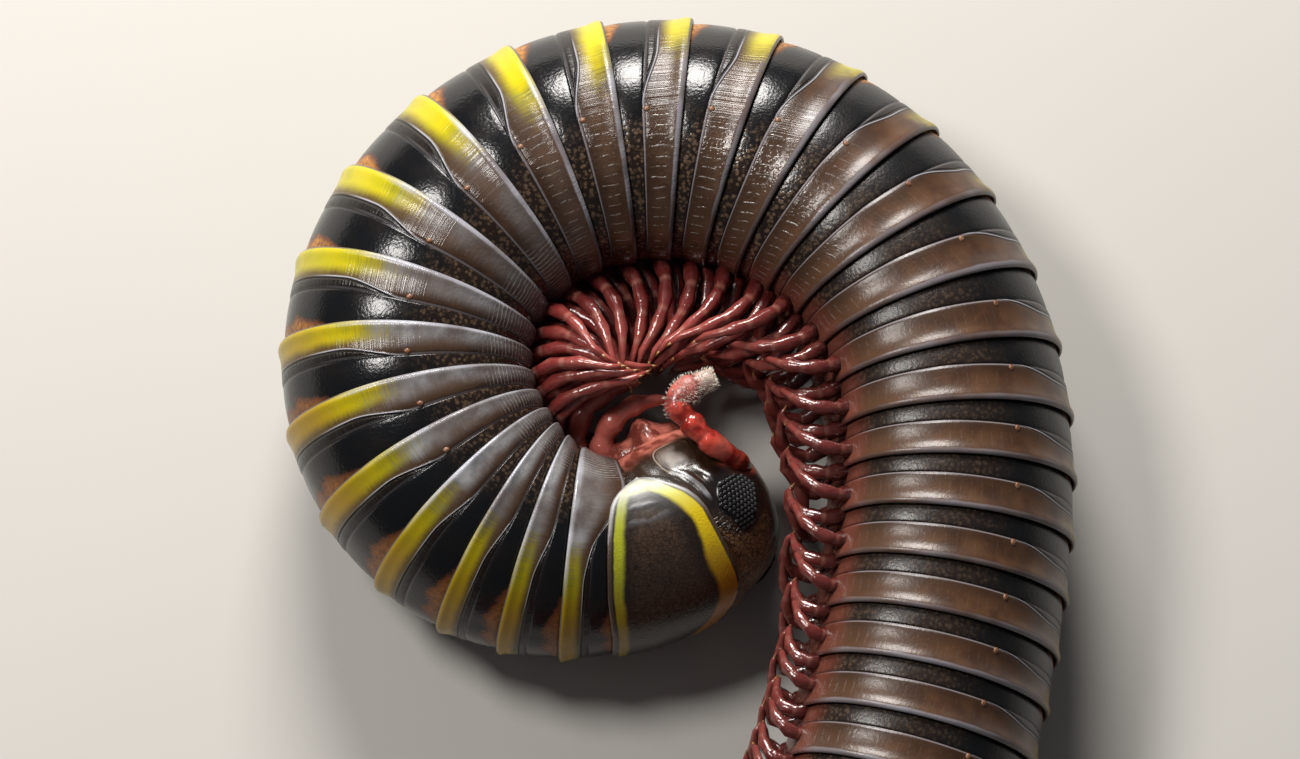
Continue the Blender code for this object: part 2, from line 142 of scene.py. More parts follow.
# the left legs of the first two pairs, held against the mouth, in mm: ahead, toward the back, toward the left
HELD_LEGS = (
    (
        (-0.55, -1.8, 0.5), (-0.66, -2.6, 0.95), (-0.38, -2.9, 1.4), (0.08, -2.98, 1.68), (0.62, -2.95, 1.78),
        (1.06, -2.84, 1.72), (1.36, -2.76, 1.6), (1.52, -2.66, 1.4),
    ),
    (
        (-1.5, -2.1, 0.5), (-1.2, -3.2, 1.0), (-0.8, -3.6, 1.4), (-0.4, -3.72, 1.7), (0.13, -3.72, 1.8),
        (0.67, -3.72, 1.7), (1.15, -3.64, 1.5),
    ),
)
HELD_WIDTH = 1.75
HELD_STATIONS = 31
HELD_SIDES = 14
LEG_WAISTS = (0.4, 0.63, 0.81)
# a claw from its root: mm from the leg's tip and share of the tip's radius
CLAW_PROFILE = ((-0.05, 0.9), (0.07, 0.6), (0.16, 0.12))
CLAW_SIDES = 5

# the plate below the mouth, in mm: its middle ahead of the head's back and below it, then half its size
MOUTH_PLACE = (0.38, -2.1)
MOUTH_SIZE = (1.15, 1.0, 1.66)

# middles and half sizes on the head: mm ahead of its back, degrees from the crown
CHEEK_PLATE = (0.64, 103, 0.52, 11)
SOCKET = (2.02, 82, 0.42, 13)
SOCKET_SKIN = (2.02, 82, 0.62, 17)
EYE_STAIN = (1.35, 56, 0.85, 26)
EYE_PLACE = (1.3 * MM, 1.26 * MM, 1.8 * MM)
EYE_OUTWARD = (0.38, 0.53, 0.75)
# corners of the left eye patch on the head, in mm: ahead, toward the back, toward the left
EYE_CORNERS = (
    (1.05, 0.72, 2.21), (1.35, 0.62, 2.1), (1.72, 0.6, 1.85), (2.02, 0.78, 1.48), (1.9, 1.22, 1.32),
    (1.63, 1.58, 1.31), (1.18, 1.92, 1.26), (0.95, 1.6, 1.72), (0.84, 1.12, 2.08),
)
# the eye's mound from its middle outward: share of its outline and height over the head, mm
EYE_MOUND = (
    (0.25, 0.065), (0.55, 0.06), (0.8, 0.045), (0.94, 0.02), (1.0, -0.02), (1.0, -0.08), (0.6, -0.12),
    (0.2, -0.13),
)
EYE_COLUMNS = 48
# facets: rows to each side, their slant in radians, the steps between them as shares of a facet's radius
FACET_ROWS = 9
FACET_SLANT = 0.5
FACET_STEPS = (1.66, 1.9)
FACET_LIFT = 0.059 * MM
FACET_HEIGHT = 0.24
FACET_MARGIN = 0.75

# middle lines of the feelers, in mm: ahead, toward the back, toward the left
LEFT_ANTENNA = (
    (2.06, 0.24, 1.4), (1.89, 0.25, 2.05), (1.54, -0.2, 2.65), (1.39, -0.85, 2.98), (1.38, -1.41, 3.25),
    (1.96, -1.48, 3.32), (2.6, -1.37, 3.32),
)
RIGHT_ANTENNA = (
    (1.9, 0.25, -1.3), (2.1, 0.1, -1.95), (2.25, -0.8, -1.85), (1.95, -1.6, -1.68), (1.5, -2.2, -1.42),
    (1.1, -2.52, -1.32), (0.6, -2.75, -1.2),
)
ANTENNA_RADIUS = 0.33 * MM
ANTENNA_STATIONS = 70
ANTENNA_SIDES = 20
ANTENNA_JOINTS = (0.0, 0.17, 0.42, 0.56, 0.7, 0.87, 1.0)
ANTENNA_WIDTHS = (
    (0, 0.7), (0.09, 0.86), (0.14, 0.84), (0.17, 0.72), (0.2, 0.76), (0.32, 1.0), (0.38, 1.02), (0.42, 0.8),
    (0.45, 0.84), (0.51, 1.08), (0.54, 1.04), (0.56, 0.86), (0.59, 0.9), (0.65, 1.08), (0.68, 1.04),
    (0.7, 0.9), (0.74, 1.04), (0.8, 1.18), (0.84, 1.12), (0.87, 0.9), (0.89, 0.86), (0.95, 0.86),
    (0.98, 0.74), (1, 0.5),
)
HAIR_COUNT = 900
HAIR_RADII = {"radius1": 0.011 * MM, "radius2": 0.002 * MM}

TELSON_SHARES = (-0.15, -0.05, 0.05, 0.2, 0.35, 0.5, 0.62, 0.7, 0.74, 0.78, 0.86, 0.93, 0.98)
TELSON_VALVES = 0.72
TELSON_ZONE = -0.4

CAMERA_TARGET = (1.882 * MM, 8.4 * MM, 3.348 * MM)
CAMERA_ELEVATION = 75
FRAME_WIDTH = 34.35 * MM
LENS = 200
SENSOR = 36
FLOOR_HALF = 0.6
# name, direction from the animal, distance and size in mm, share of the key light's power
LIGHTS = (("key", (-0.08, 0.84, 0.54), 110, 46, 1.0), ("top", (-0.5, 0.22, 0.84), 120, 34, 0.55))
LIGHT_COLOUR = (1.0, 0.97, 0.93)
SKY_COLOUR = (0.9, 0.94, 1.0, 1)


def ease(value, start, end):
    """Rises smoothly from 0 to 1 between two values, for numbers and arrays."""
    share = np.clip((np.asarray(value, dtype=float) - start) / (end - start), 0, 1)
    return share * share * (3 - 2 * share)


def ring_share(ring):
    grown = min(1, max(0, (ring - 1) / NECK_RINGS))
    shrunk = min(1, max(0, (ring - RING_COUNT + TAPER_RINGS) / TAPER_RINGS))
    front = NECK_SHARE + (1 - NECK_SHARE) * math.sin(grown * math.pi / 2)
    return front * (1 - (1 - TAIL_SHARE) * shrunk**1.6)


def between(table, place):
    """Reads a table of pairs at a place between its rows."""
    places, values = zip(*table)
    return np.interp(place, places, values)


RING_ENDS = np.concatenate([[0.0], np.cumsum(between(PITCHES, np.arange(1, RING_COUNT + 1)) * MM)])


class Midline:
    """The line through the middle of the body, worked out for whole arrays of places."""

    def __init__(self):
        self.s = np.arange(0, RING_ENDS[-1] + TRACE_STEP, TRACE_STEP)
        ring = np.interp(self.s, RING_ENDS, np.arange(RING_COUNT + 1))
        self.bend = between([(place, 1 / (radius * MM)) for place, radius in BENDS], self.s / MM)
        turned = self.running_sum(self.bend)
        middle = RING_ENDS[1] / 2
        self.heading = math.radians(COLLUM_HEADING) - (turned - np.interp(middle, self.s, turned))
        x = self.running_sum(np.cos(self.heading))
        y = self.running_sum(np.sin(self.heading))
        self.x = x + COLLUM_MIDDLE[0] - np.interp(middle, self.s, x)
        self.y = y + COLLUM_MIDDLE[1] - np.interp(middle, self.s, y)
        middles = np.arange(RING_COUNT) + 0.5
        shares = [ring_share(number) for number in range(1, RING_COUNT + 1)]
        self.radius = BODY_RADIUS * np.interp(ring, middles, shares)
        self.roll = np.radians(between(ROLLS, ring))

    @staticmethod
    def running_sum(values):
        return np.concatenate([[0], np.cumsum((values[1:] + values[:-1]) / 2 * TRACE_STEP)])

    def at(self, name, s):
        return np.interp(s, self.s, getattr(self, name))

    def centre(self, s):
        s = np.asarray(s, dtype=float)
        beyond = np.minimum(0, s) + np.maximum(0, s - RING_ENDS[-1])
        heading = self.at("heading", s)
        x = self.at("x", s) + beyond * np.cos(heading)
        y = self.at("y", s) + beyond * np.sin(heading)
        return np.stack([x, y, self.at("radius", s) - FLAT_DEPTH], axis=-1)

    def directions(self, s):
        """Tailward, dorsal and left unit vectors."""
        heading = self.at("heading", s)
        roll = self.at("roll", s)
        flat = np.zeros_like(heading)
        tailward = np.stack([np.cos(heading), np.sin(heading), flat], axis=-1)
        outward = np.stack([-np.sin(heading), np.cos(heading), flat], axis=-1)
        up = np.stack([flat, flat, flat + 1], axis=-1)
        roll = np.asarray(roll)[..., None]
        dorsal = outward * np.cos(roll) + up * np.sin(roll)
        left = up * np.cos(roll) - outward * np.sin(roll)
        return tailward, dorsal, left

    def stretch(self, s, angle, reach):
        """How much longer the body's side is than the midline, at an angle from the back."""
        bent = 1 + self.at("bend", s) * reach * np.cos(angle + self.at("roll", s))
        return np.where(np.asarray(s) < 0, 1, bent)

    def surface(self, s, angle, reach):
        s, angle, reach = np.broadcast_arrays(s, angle, reach)
        _, dorsal, left = self.directions(s)
        across = (reach * np.cos(angle))[..., None]
        side = (reach * np.sin(angle))[..., None]
        return self.centre(s) + dorsal * across + left * side


BODY = Midline()


def section_share(angle):
    """Round on the back and sides, flatter underneath."""
    return 1 - VENTER_FLAT * ease(fold(angle), 125, 180)


def fold(angle):
    """Degrees from the middle of the back, alike on both sides."""
    turn = np.mod(np.asarray(angle) + math.pi, 2 * math.pi) - math.pi
    return np.abs(np.degrees(turn))


def head_point(ahead, dorsal, left):
    tailward, up, side = BODY.directions(0.0)
    ahead, dorsal, left = (np.asarray(value)[..., None] for value in (ahead, dorsal, left))
    return BODY.centre(0.0) - tailward * ahead + up * dorsal + side * left


def head_vector(ahead, dorsal, left):
    return Vector(head_point(ahead, dorsal, left) - head_point(0, 0, 0)).normalized()


def round_angles(count):
    """Angles once round the body from underneath, with the last on the first."""
    return np.linspace(-math.pi, math.pi, count + 1)


def mark(first, second, third):
    """Three pattern values for each point of a row."""
    return np.stack(np.broadcast_arrays(first, second, third), axis=-1)


def over_floor(points, marks, floor=0.0):
    """Rows of points and marks as arrays, with no point below a height."""
    points = np.array(points)
    points[..., 2] = np.maximum(points[..., 2], floor)
    return points, np.array(marks)


def facing(centre, outward):
    """The matrix that sets a small shape on a surface."""
    return Matrix.Translation(centre) @ outward.to_track_quat("Z", "Y").to_matrix().to_4x4()


def new_mesh():
    mesh = bmesh.new()
    mesh.verts.layers.float_vector.new(PLACE)
    return mesh


def add_sheet(mesh, points, marks):
    """Lays a grid of faces through rows of points, with three pattern values on each."""
    rows, columns = points.shape[:2]
    layer = mesh.verts.layers.float_vector[PLACE]
    first = len(mesh.verts)
    bmesh.ops.create_grid(mesh, x_segments=columns - 1, y_segments=rows - 1, size=0.5)
    mesh.verts.ensure_lookup_table()
    marks = np.broadcast_to(marks, points.shape).reshape(-1, 3).tolist()
    for vertex, point, values in zip(mesh.verts[first:], points.reshape(-1, 3).tolist(), marks):
        vertex.co = point
        vertex[layer] = values


def add_capped_sheet(mesh, points, marks):
    """The same for a tube, with the first and last row gathered to a point in their middle."""
    marks = np.array(np.broadcast_to(marks, points.shape))
    start = np.broadcast_to(points[0, :-1].mean(axis=0), points[0].shape)
    end = np.broadcast_to(points[-1, :-1].mean(axis=0), points[0].shape)
    points = np.concatenate([start[None], points, end[None]])
    marks = np.concatenate([marks[:1], marks, marks[-1:]])
    add_sheet(mesh, points, marks)


def add_tube(mesh, route, radii, sides, marks):
    """A closed tube along a route, with pattern values given for each station."""
    route = [Vector(point) for point in route]
    rows = []
    normal = None
    for i, point in enumerate(route):
        ahead = (route[min(i + 1, len(route) - 1)] - route[max(i - 1, 0)]).normalized()
        if normal is None:
            normal = ahead.orthogonal().normalized()
        normal = (normal - ahead * normal.dot(ahead)).normalized()
        across = ahead.cross(normal)
        row = []
        for side in range(sides + 1):
            angle = 2 * math.pi * (side % sides) / sides
            row.append(point + (normal * math.cos(angle) + across * math.sin(angle)) * radii[i])
        rows.append(row)
    add_capped_sheet(mesh, np.array(rows), np.asarray(marks)[:, None, :])


def finish_piece(name, mesh, material, nodes=()):
    """Closes the mesh's seams, makes it an object and ties it to the frame."""
    bmesh.ops.remove_doubles(mesh, verts=mesh.verts[:], dist=WELD)
    bmesh.ops.recalc_face_normals(mesh, faces=mesh.faces[:])
    for face in mesh.faces:
        face.smooth = True
    data = bpy.data.meshes.new(name)
    mesh.to_mesh(data)
    mesh.free()
    data.materials.append(material)
    made = bpy.data.objects.new(name, data)
    bpy.context.scene.collection.objects.link(made)
    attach(made, "root")
    if nodes:
        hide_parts(*nodes)


def arithmetic(operation, swapped=False):
    """A method that joins a wire and another value in a math node."""
    def apply(wire, other):
        return wire.finish.math(operation, *((other, wire) if swapped else (wire, other)))
    return apply


class Wire:
    """A shader socket that plain arithmetic works on."""

    __add__ = arithmetic("ADD")
    __radd__ = arithmetic("ADD", swapped=True)
    __sub__ = arithmetic("SUBTRACT")
    __rsub__ = arithmetic("SUBTRACT", swapped=True)
    __mul__ = arithmetic("MULTIPLY")
    __rmul__ = arithmetic("MULTIPLY", swapped=True)
    __truediv__ = arithmetic("DIVIDE")

    def __init__(self, finish, socket):
        self.finish = finish
        self.socket = socket

    def ease(self, start, end):
        """Rises smoothly from 0 to 1 between two values."""
        sockets = {"Value": self, "From Min": start, "From Max": end}
        node = self.finish.node("ShaderNodeMapRange", {"interpolation_type": "SMOOTHSTEP"}, sockets)
        return Wire(self.finish, node.outputs["Result"])

    def rise_fall(self, start, top, fall, end):
        """Rises between the first two values and falls again between the last two."""
        return self.ease(start, top) * (1 - self.ease(fall, end))

    def close_to(self, value, width):
        """1 at a value, falling smoothly to 0 at a distance from it."""
        return 1 - self.finish.math("ABSOLUTE", self - value).ease(0.0, width)

    def lines(self, width):
        """Thin lines wherever the value passes an even number."""
        return 1 - self.finish.math("PINGPONG", self, 1.0).ease(0.0, width * 2)


class Finish:
    """A material whose nodes are made by one method."""

    def __init__(self, name, **constants):
        self.material = bpy.data.materials.new(name)
        self.material.use_nodes = True
        self.tree = self.material.node_tree
        self.shader = self.tree.nodes["Principled BSDF"]
        for socket, value in constants.items():
            self.shader.inputs[socket.replace("_", " ")].default_value = value
        self.place = None

    def node(self, kind, settings=None, sockets=None):
        made = self.tree.nodes.new(kind)
        for name, value in (settings or {}).items():
            setattr(made, name, value)
        for name, value in (sockets or {}).items():
            if isinstance(value, Wire):
                self.tree.links.new(value.socket, made.inputs[name])
            else:
                made.inputs[name].default_value = value
        return made

    def math(self, operation, *values):
        node = self.node("ShaderNodeMath", {"operation": operation}, dict(enumerate(values)))
        return Wire(self, node.outputs[0])

    def mix(self, factor, first, second):
        """Goes from the first colour to the second."""
        sockets = {0: factor, 6: solid(first), 7: solid(second)}
        return Wire(self, self.node("ShaderNodeMix", {"data_type": "RGBA"}, sockets).outputs[2])

    def layers(self, colour, *coats):
        """Lays coats over a colour, each given as how much it covers and its own colour."""
        for cover, coat in coats:
            colour = self.mix(cover, colour, coat)
        return colour

    def marks(self):
        """The three pattern values that the mesh carries."""
        if self.place is None:
            vector = self.node("ShaderNodeAttribute", {"attribute_name": PLACE})
            parts = self.node("ShaderNodeSeparateXYZ", {}, {0: Wire(self, vector.outputs["Vector"])})
            self.place = [Wire(self, socket) for socket in parts.outputs]
        return self.place

    def where(self):
        return Wire(self, self.node("ShaderNodeTexCoord").outputs["Object"])

    def axis(self, index):
        """The place along the model's X, Y or Z, in mm."""
        parts = self.node("ShaderNodeSeparateXYZ", {}, {0: self.where()})
        return Wire(self, parts.outputs[index]) / MM

    def noise(self, per_mm, detail=2):
        """A soft random value from 0 to 1, with so many lumps to a millimetre."""
        sockets = {"Vector": self.where(), "Scale": per_mm / MM, "Detail": detail}
        return Wire(self, self.node("ShaderNodeTexNoise", {}, sockets).outputs[0])

    def cells(self, per_mm, feature="F1"):
        """Distance from the middle or the edge of scattered cells."""
        sockets = {"Vector": self.where(), "Scale": per_mm / MM}
        node = self.node("ShaderNodeTexVoronoi", {"feature": feature}, sockets)
        return Wire(self, node.outputs["Distance"])

    def along(self, value, scale, detail=1):
        """A random value that follows one number."""
        sockets = {"W": value * scale, "Scale": 1.0, "Detail": detail}
        node = self.node("ShaderNodeTexNoise", {"noise_dimensions": "1D"}, sockets)
        return Wire(self, node.outputs[0])

    def oval(self, ahead, turn, place):
        """Passes 1 on the edge of an oval with a given middle and half sizes."""
        long = (ahead - place[0]) / place[2]
        wide = (turn - place[1]) / place[3]
        return self.math("SQRT", squared(long) + squared(wide))

    def box(self, ahead, turn, place):
        """The same for a four-sided plate with round corners."""
        long = squared((ahead - place[0]) / place[2])
        wide = squared((turn - place[1]) / place[3])
        return self.math("POWER", squared(long) + squared(wide), 0.25)

    def bump(self, height, distance, before=None):
        sockets = {"Height": height, "Distance": distance, "Strength": 1.0}
        if before is not None:
            sockets["Normal"] = before
        return Wire(self, self.node("ShaderNodeBump", {}, sockets).outputs[0])

    def feed(self, *wires):
        """Gives the shader its colour, its roughness and, if there is a third, its normal."""
        for name, wire in zip(("Base Color", "Roughness", "Normal"), wires):
            self.tree.links.new(wire.socket, self.shader.inputs[name])
        return self.material


def squared(value):
    return value * value


def solid(colour):
    return colour if isinstance(colour, Wire) else (*colour, 1.0)


def colour_property(name, description, default):
    return FloatVectorProperty(
        name=name, description=description, default=default, subtype="COLOR", size=3, min=0, max=1)


def length_property(name, description, default, low, high):
    return FloatProperty(
        name=name, description=description, default=default * MM, min=low * MM, max=high * MM, unit="LENGTH")


class MillipedeSizes(PropertyGroup):
    leg_length: length_property(
        "Leg length", "Length of a leg from its root inside the ring to its claw", 3.75, 1, 8)
    leg_radius: length_property("Leg radius", "Half the thickness of a leg's upper joints", 0.215, 0.05, 0.5)
    hair_length: length_property("Down length", "Length of the hairs at the feelers' tips", 0.11, 0.02, 0.5)
    ocellus_radius: length_property("Facet radius", "Radius of one facet of an eye patch", 0.07, 0.02, 0.2)


class MillipedeColours(PropertyGroup):
    ring_black: colour_property("Ring black", "Glossy front zone of a ring", (0.0045, 0.005, 0.0062))
    band_yellow: colour_property("Band yellow", "Lime band at the rear of a ring", (0.56, 0.46, 0.003))
    patch_orange: colour_property("Patch orange", "Patch on the back, ahead of the black", (0.5, 0.2, 0.02))
    flank_brown: colour_property("Flank brown", "Rear zone of a ring on the flank", (0.082, 0.046, 0.028))
    belly_grey: colour_property("Belly grey", "Rear zone of a ring near the legs", (0.085, 0.07, 0.062))
    head_brown: colour_property("Head brown", "Head capsule", (0.028, 0.013, 0.006))
    leg_red: colour_property("Leg red", "Joints of the legs", (0.22, 0.026, 0.022))
    claw_amber: colour_property("Claw amber", "Claws", (0.5, 0.3, 0.14))
    antenna_red: colour_property("Feeler red", "Joints of the feelers", (0.5, 0.06, 0.04))
    mouth_pink: colour_property("Mouth pink", "Soft plate below the mouth", (0.5, 0.15, 0.11))


class StudioSettings(PropertyGroup):
    floor_colour: colour_property("Floor", "Plain floor under the animal", (0.54, 0.52, 0.49))
    key_power: FloatProperty(
        name="Key light", description="Power of the soft light behind the coil", default=0.18, min=0,
        unit="POWER")
    fill_strength: FloatProperty(
        name="Fill", description="Strength of the pale surroundings", default=0.1, min=0)


def ring_shell_material(paint):
    """Black front zone, seam, and a rear zone that is lime on the back and grey-brown on the flank.

    The look changes around the coil: near is its left side, low its lower half, far its upper right and right
    the straight column on the right, as the camera sees them.
    """
    finish = Finish("ring_shell", Specular_IOR_Level=0.4)
    turn, zone, behind = finish.marks()
    coil = finish.axis(0) + finish.axis(1) * 0.45 - 2.7
    near = (1 - coil.ease(0.6, 3.4)) * finish.axis(1).ease(-3, -0.5)
    low = 1 - finish.axis(1).ease(7.5, 11.5)
    far = coil.ease(3.5, 7.5)
    right = finish.axis(0).ease(4.5, 8)
    blur = finish.noise(1.6, 3)
    stir = blur - 0.5
    cloud = blur.ease(0.3, 0.7)
    wide_blur = finish.noise(0.55, 2)
    grain = finish.noise(9, 2)
    streak = finish.along(turn, 0.9, 3)
    side = turn + (streak - 0.5) * 18 + stir * 18
    rear = zone.ease(-0.015, 0.02)

    # front zone: black, speckled on the flank, with a ragged orange patch on the back
    speck = (1 - finish.cells(8.5).ease(0.3, 0.62)) * side.ease(66, 90) * grain.ease(0.3, 0.55)
    speck = speck * (1 - near * 0.35) * (1 - right * 0.7)
    peak = finish.math("ABSOLUTE", turn + (grain - 0.5) * 10 - 7)
    tall = 0.54 - peak / 48 + stir * 0.2 + (grain - 0.5) * 0.4 - behind
    patch = tall.ease(-0.04, 0.12) * (1 - rear)
    orange = finish.layers(
        (0.1, 0.028, 0.008),
        (tall.ease(0.04, 0.26), finish.mix(grain.ease(0.35, 0.7), paint.patch_orange, (0.12, 0.04, 0.01))),
        (low * 0.6, (0.14, 0.04, 0.012)))
    front_colour = finish.layers(
        paint.ring_black,
        ((blur - 0.1).ease(0.3, 0.6) * 0.5, (0.011, 0.0075, 0.006)),
        (side.ease(66, 96) * 0.7, (0.02, 0.011, 0.007)),
        (speck * 0.8, finish.mix(grain, (0.05, 0.03, 0.019), (0.2, 0.13, 0.08))),
        (patch, orange))

    # rear zone: lime above, brown on the flank with a painted silvery sheen, grey-brown near the legs, and
    # painted highlights along the rim and the raised lines
    upper = 1 - (side + far * 19 + right * 12).ease(34, 68)
    shade = zone + stir * 0.16 + (streak - 0.5) * 0.08
    lime = finish.layers(
        paint.band_yellow,
        (blur.ease(0.3, 0.75) * 0.8, (0.42, 0.4, 0.006)),
        (low * (1 - turn.ease(12, 48)) * 0.75, (0.4, 0.2, 0.006)))
    back_colour = finish.layers(
        (0.012, 0.008, 0.006),
        (shade.ease(0.02, 0.4), (0.09, 0.055, 0.014)),
        (shade.ease(0.32, 0.62), lime))
    # painted sheen: silvery on the near and low rings, grey on the far ones
    sheen_colour = finish.mix(blur.ease(0.3, 0.65), (0.16, 0.165, 0.18), (0.42, 0.42, 0.43))
    sheen = (wide_blur.ease(0.3, 0.6) * 0.55 + 0.3) * shade.ease(0.1, 0.75) * side.ease(40, 66)
    far_sheen = wide_blur.ease(0.4, 0.62) * shade.ease(0.3, 0.8) * (1 - side.ease(60, 100)) * (0.7 - far * 0.5)
    # painted highlights: a pale line along the rear rim, on the raised second line and on the lip just behind
    # the seam
    highlight_strength = (wide_blur.ease(0.3, 0.6) * 0.55 + 0.18) * (1 - coil.ease(3, 8) * 0.55)
    rim_with_sheen = (zone + stir * 0.08).ease(0.83, 0.89) * turn.ease(26, 50) * highlight_strength * (1 - turn.ease(104, 122) * 0.6)
    second = zone - 0.29 * (1 - turn.ease(38, 69))
    gap_strip = (1 - second.ease(-0.02, 0.02)) * (1 - turn.ease(66, 72))
    lines = line_height(second) * (1 - turn.ease(66, 71)) * rear
    lip = zone.close_to(0.04, 0.04) * (turn.ease(60, 72) + turn.ease(18, 40) * 0.5)
    rear_colour = finish.layers(
        paint.flank_brown,
        (cloud, (0.045, 0.022, 0.012)),
        (right * 0.7, finish.mix(cloud, (0.1, 0.044, 0.019), (0.05, 0.021, 0.01))),
        (sheen * near * (low * 0.6 + 0.4), sheen_colour),
        (far_sheen * (1 - near), (0.13, 0.125, 0.13)),
        (side.ease(98, 128) * 0.7, finish.mix(near, (0.07, 0.034, 0.018), paint.belly_grey)),
        ((1 - shade.ease(0.0, 0.5)) * (1 - near * 0.5) * 0.7, (0.022, 0.011, 0.007)),
        (upper, back_colour),
        (rim_with_sheen, (0.42, 0.42, 0.48)),
        (zone.ease(0.93, 0.965) * (1 - turn.ease(30, 50)), (0.1, 0.08, 0.06)),
        (gap_strip * 0.93, (0.009, 0.0065, 0.006)),
        (lines.ease(0.2, 0.9) * turn.ease(14, 34) * 0.8, (0.38, 0.38, 0.42)),
        (lip * 0.4, (0.3, 0.28, 0.3)))

    # pale striae: few on the flank, close and fine near the legs
    wide = (turn / 2.3 + stir * 1.4).lines(0.1) * turn.ease(58, 70) * grain.ease(0.38, 0.55)
    wide = wide * (zone + stir * 0.5).ease(0.22, 0.3) * (1 - (zone + stir * 0.4).ease(0.6, 0.75))
    wide = wide * (1 - right * 0.9) * (1 - near * 0.85)
    dense = (turn / 1.1 + zone * 1.6 + stir * 2.1).lines(0.22) * (0.35 + 0.65 * grain.ease(0.35, 0.55))
    dense = dense * (turn + stir * 14 + low * 8).ease(108, 118) * near
    striae = finish.math("MAXIMUM", wide * 0.7, dense) * zone.rise_fall(0.02, 0.1, 0.93, 0.99)

    colour = finish.layers(
        front_colour,
        (rear, rear_colour),
        (turn.ease(136, 152) * 0.85, finish.mix(blur, (0.07, 0.018, 0.012), (0.2, 0.06, 0.04))),
        (striae * 0.62, (0.46, 0.42, 0.4)))
    rough = 0.2 + 0.14 * (finish.noise(26, 2) - 0.5) + 0.16 * patch + 0.14 * stir + 0.13 * right
    back_lines = finish.along(turn, 2.4) * (1 - turn.ease(70, 92)) * (1 - right) * rear
    height = finish.noise(13, 2) * (1.7 - 1.3 * rear) + striae * 2.6 + back_lines * 1.6 + blur * 1.2 + speck
    normal = finish.bump(lines, 0.035 * MM, finish.bump(height, 0.0045 * MM))
    return finish.feed(colour, rough, normal)


def line_height(value):
    """A narrow raised edge with a groove before it."""
    return value.rise_fall(-0.03, 0.0, 0.0, 0.05) - value.rise_fall(-0.09, -0.05, -0.05, -0.02)


def collum_material():
    """Dark brown shield with a yellow border and a pale rim."""
    finish = Finish("collum_shell", Specular_IOR_Level=0.6)
    turn, ahead, behind = finish.marks()
    stir = finish.noise(1.8, 3) - 0.5
    grain = finish.noise(7, 2)
    net = finish.cells(9, "DISTANCE_TO_EDGE")
    wobble = stir * 0.14
    inner = finish.math("MINIMUM", ahead + wobble, behind + wobble + 0.35)
    band_end = ahead + wobble - 0.3 * (1 - turn.ease(25, 65))
    front_band = (ahead + wobble * 0.5).ease(0.11, 0.17) * (1 - band_end.ease(0.42, 0.6))
    rear_band = (behind + wobble * 0.5).ease(0.14, 0.2) * (1 - (behind + wobble).ease(0.34, 0.5))
    amber = finish.layers(
        (0.42, 0.17, 0.006),
        ((turn + stir * 30).ease(14, 56), (0.56, 0.4, 0.006)),
        (turn.ease(60, 84), (0.5, 0.48, 0.06)))
    lime = finish.layers(
        (0.36, 0.25, 0.006), (turn.ease(10, 50), (0.36, 0.38, 0.02)), (turn.ease(70, 88), (0.38, 0.4, 0.16)))
    # the rim runs from brown at the front to a painted grey-white sheen toward the lobe
    rim_with_sheen = 1 - finish.math("MINIMUM", ahead, behind).ease(0.07, 0.15)
    # painted highlights: soft blue arches on the lobe
    arch_highlights = ((turn + stir * 8) / 5.0).lines(0.3) * turn.rise_fall(66, 74, 90, 96)
    arch_highlights = arch_highlights * ahead.ease(0.7, 1.0) * behind.ease(0.4, 0.7)
    # the lobe's pale patch at the apex is a painted sheen
    colour = finish.layers(
        (0.012, 0.007, 0.005),
        (net.ease(0.0, 0.12), (0.04, 0.023, 0.014)),
        (grain.ease(0.45, 0.7) * 0.5, (0.06, 0.034, 0.02)),
        ((1 - inner.ease(0.75, 1.25)) * 0.7, (0.006, 0.004, 0.004)),
        (front_band, amber),
        (rear_band * (0.75 + 0.25 * grain), lime),
        (rim_with_sheen * 0.9, finish.mix(turn.ease(55, 85), (0.07, 0.045, 0.03), (0.3, 0.29, 0.29))),
        ((turn + stir * 12).ease(84, 95) * 0.7, (0.24, 0.24, 0.235)),
        (arch_highlights * 0.35, (0.16, 0.18, 0.22)))
    lobe = turn.ease(60, 72)
    folds = finish.along(ahead + turn * 0.02, 5.0)
    height = (finish.noise(30, 1) + net.ease(0.0, 0.2) * 0.8) * (1 - lobe * 0.85) + folds * 0.6 + arch_highlights * 3
    rough = 0.25 + 0.12 * (grain - 0.5) + 0.12 * lobe
    return finish.feed(colour, rough, finish.bump(height, 0.004 * MM))


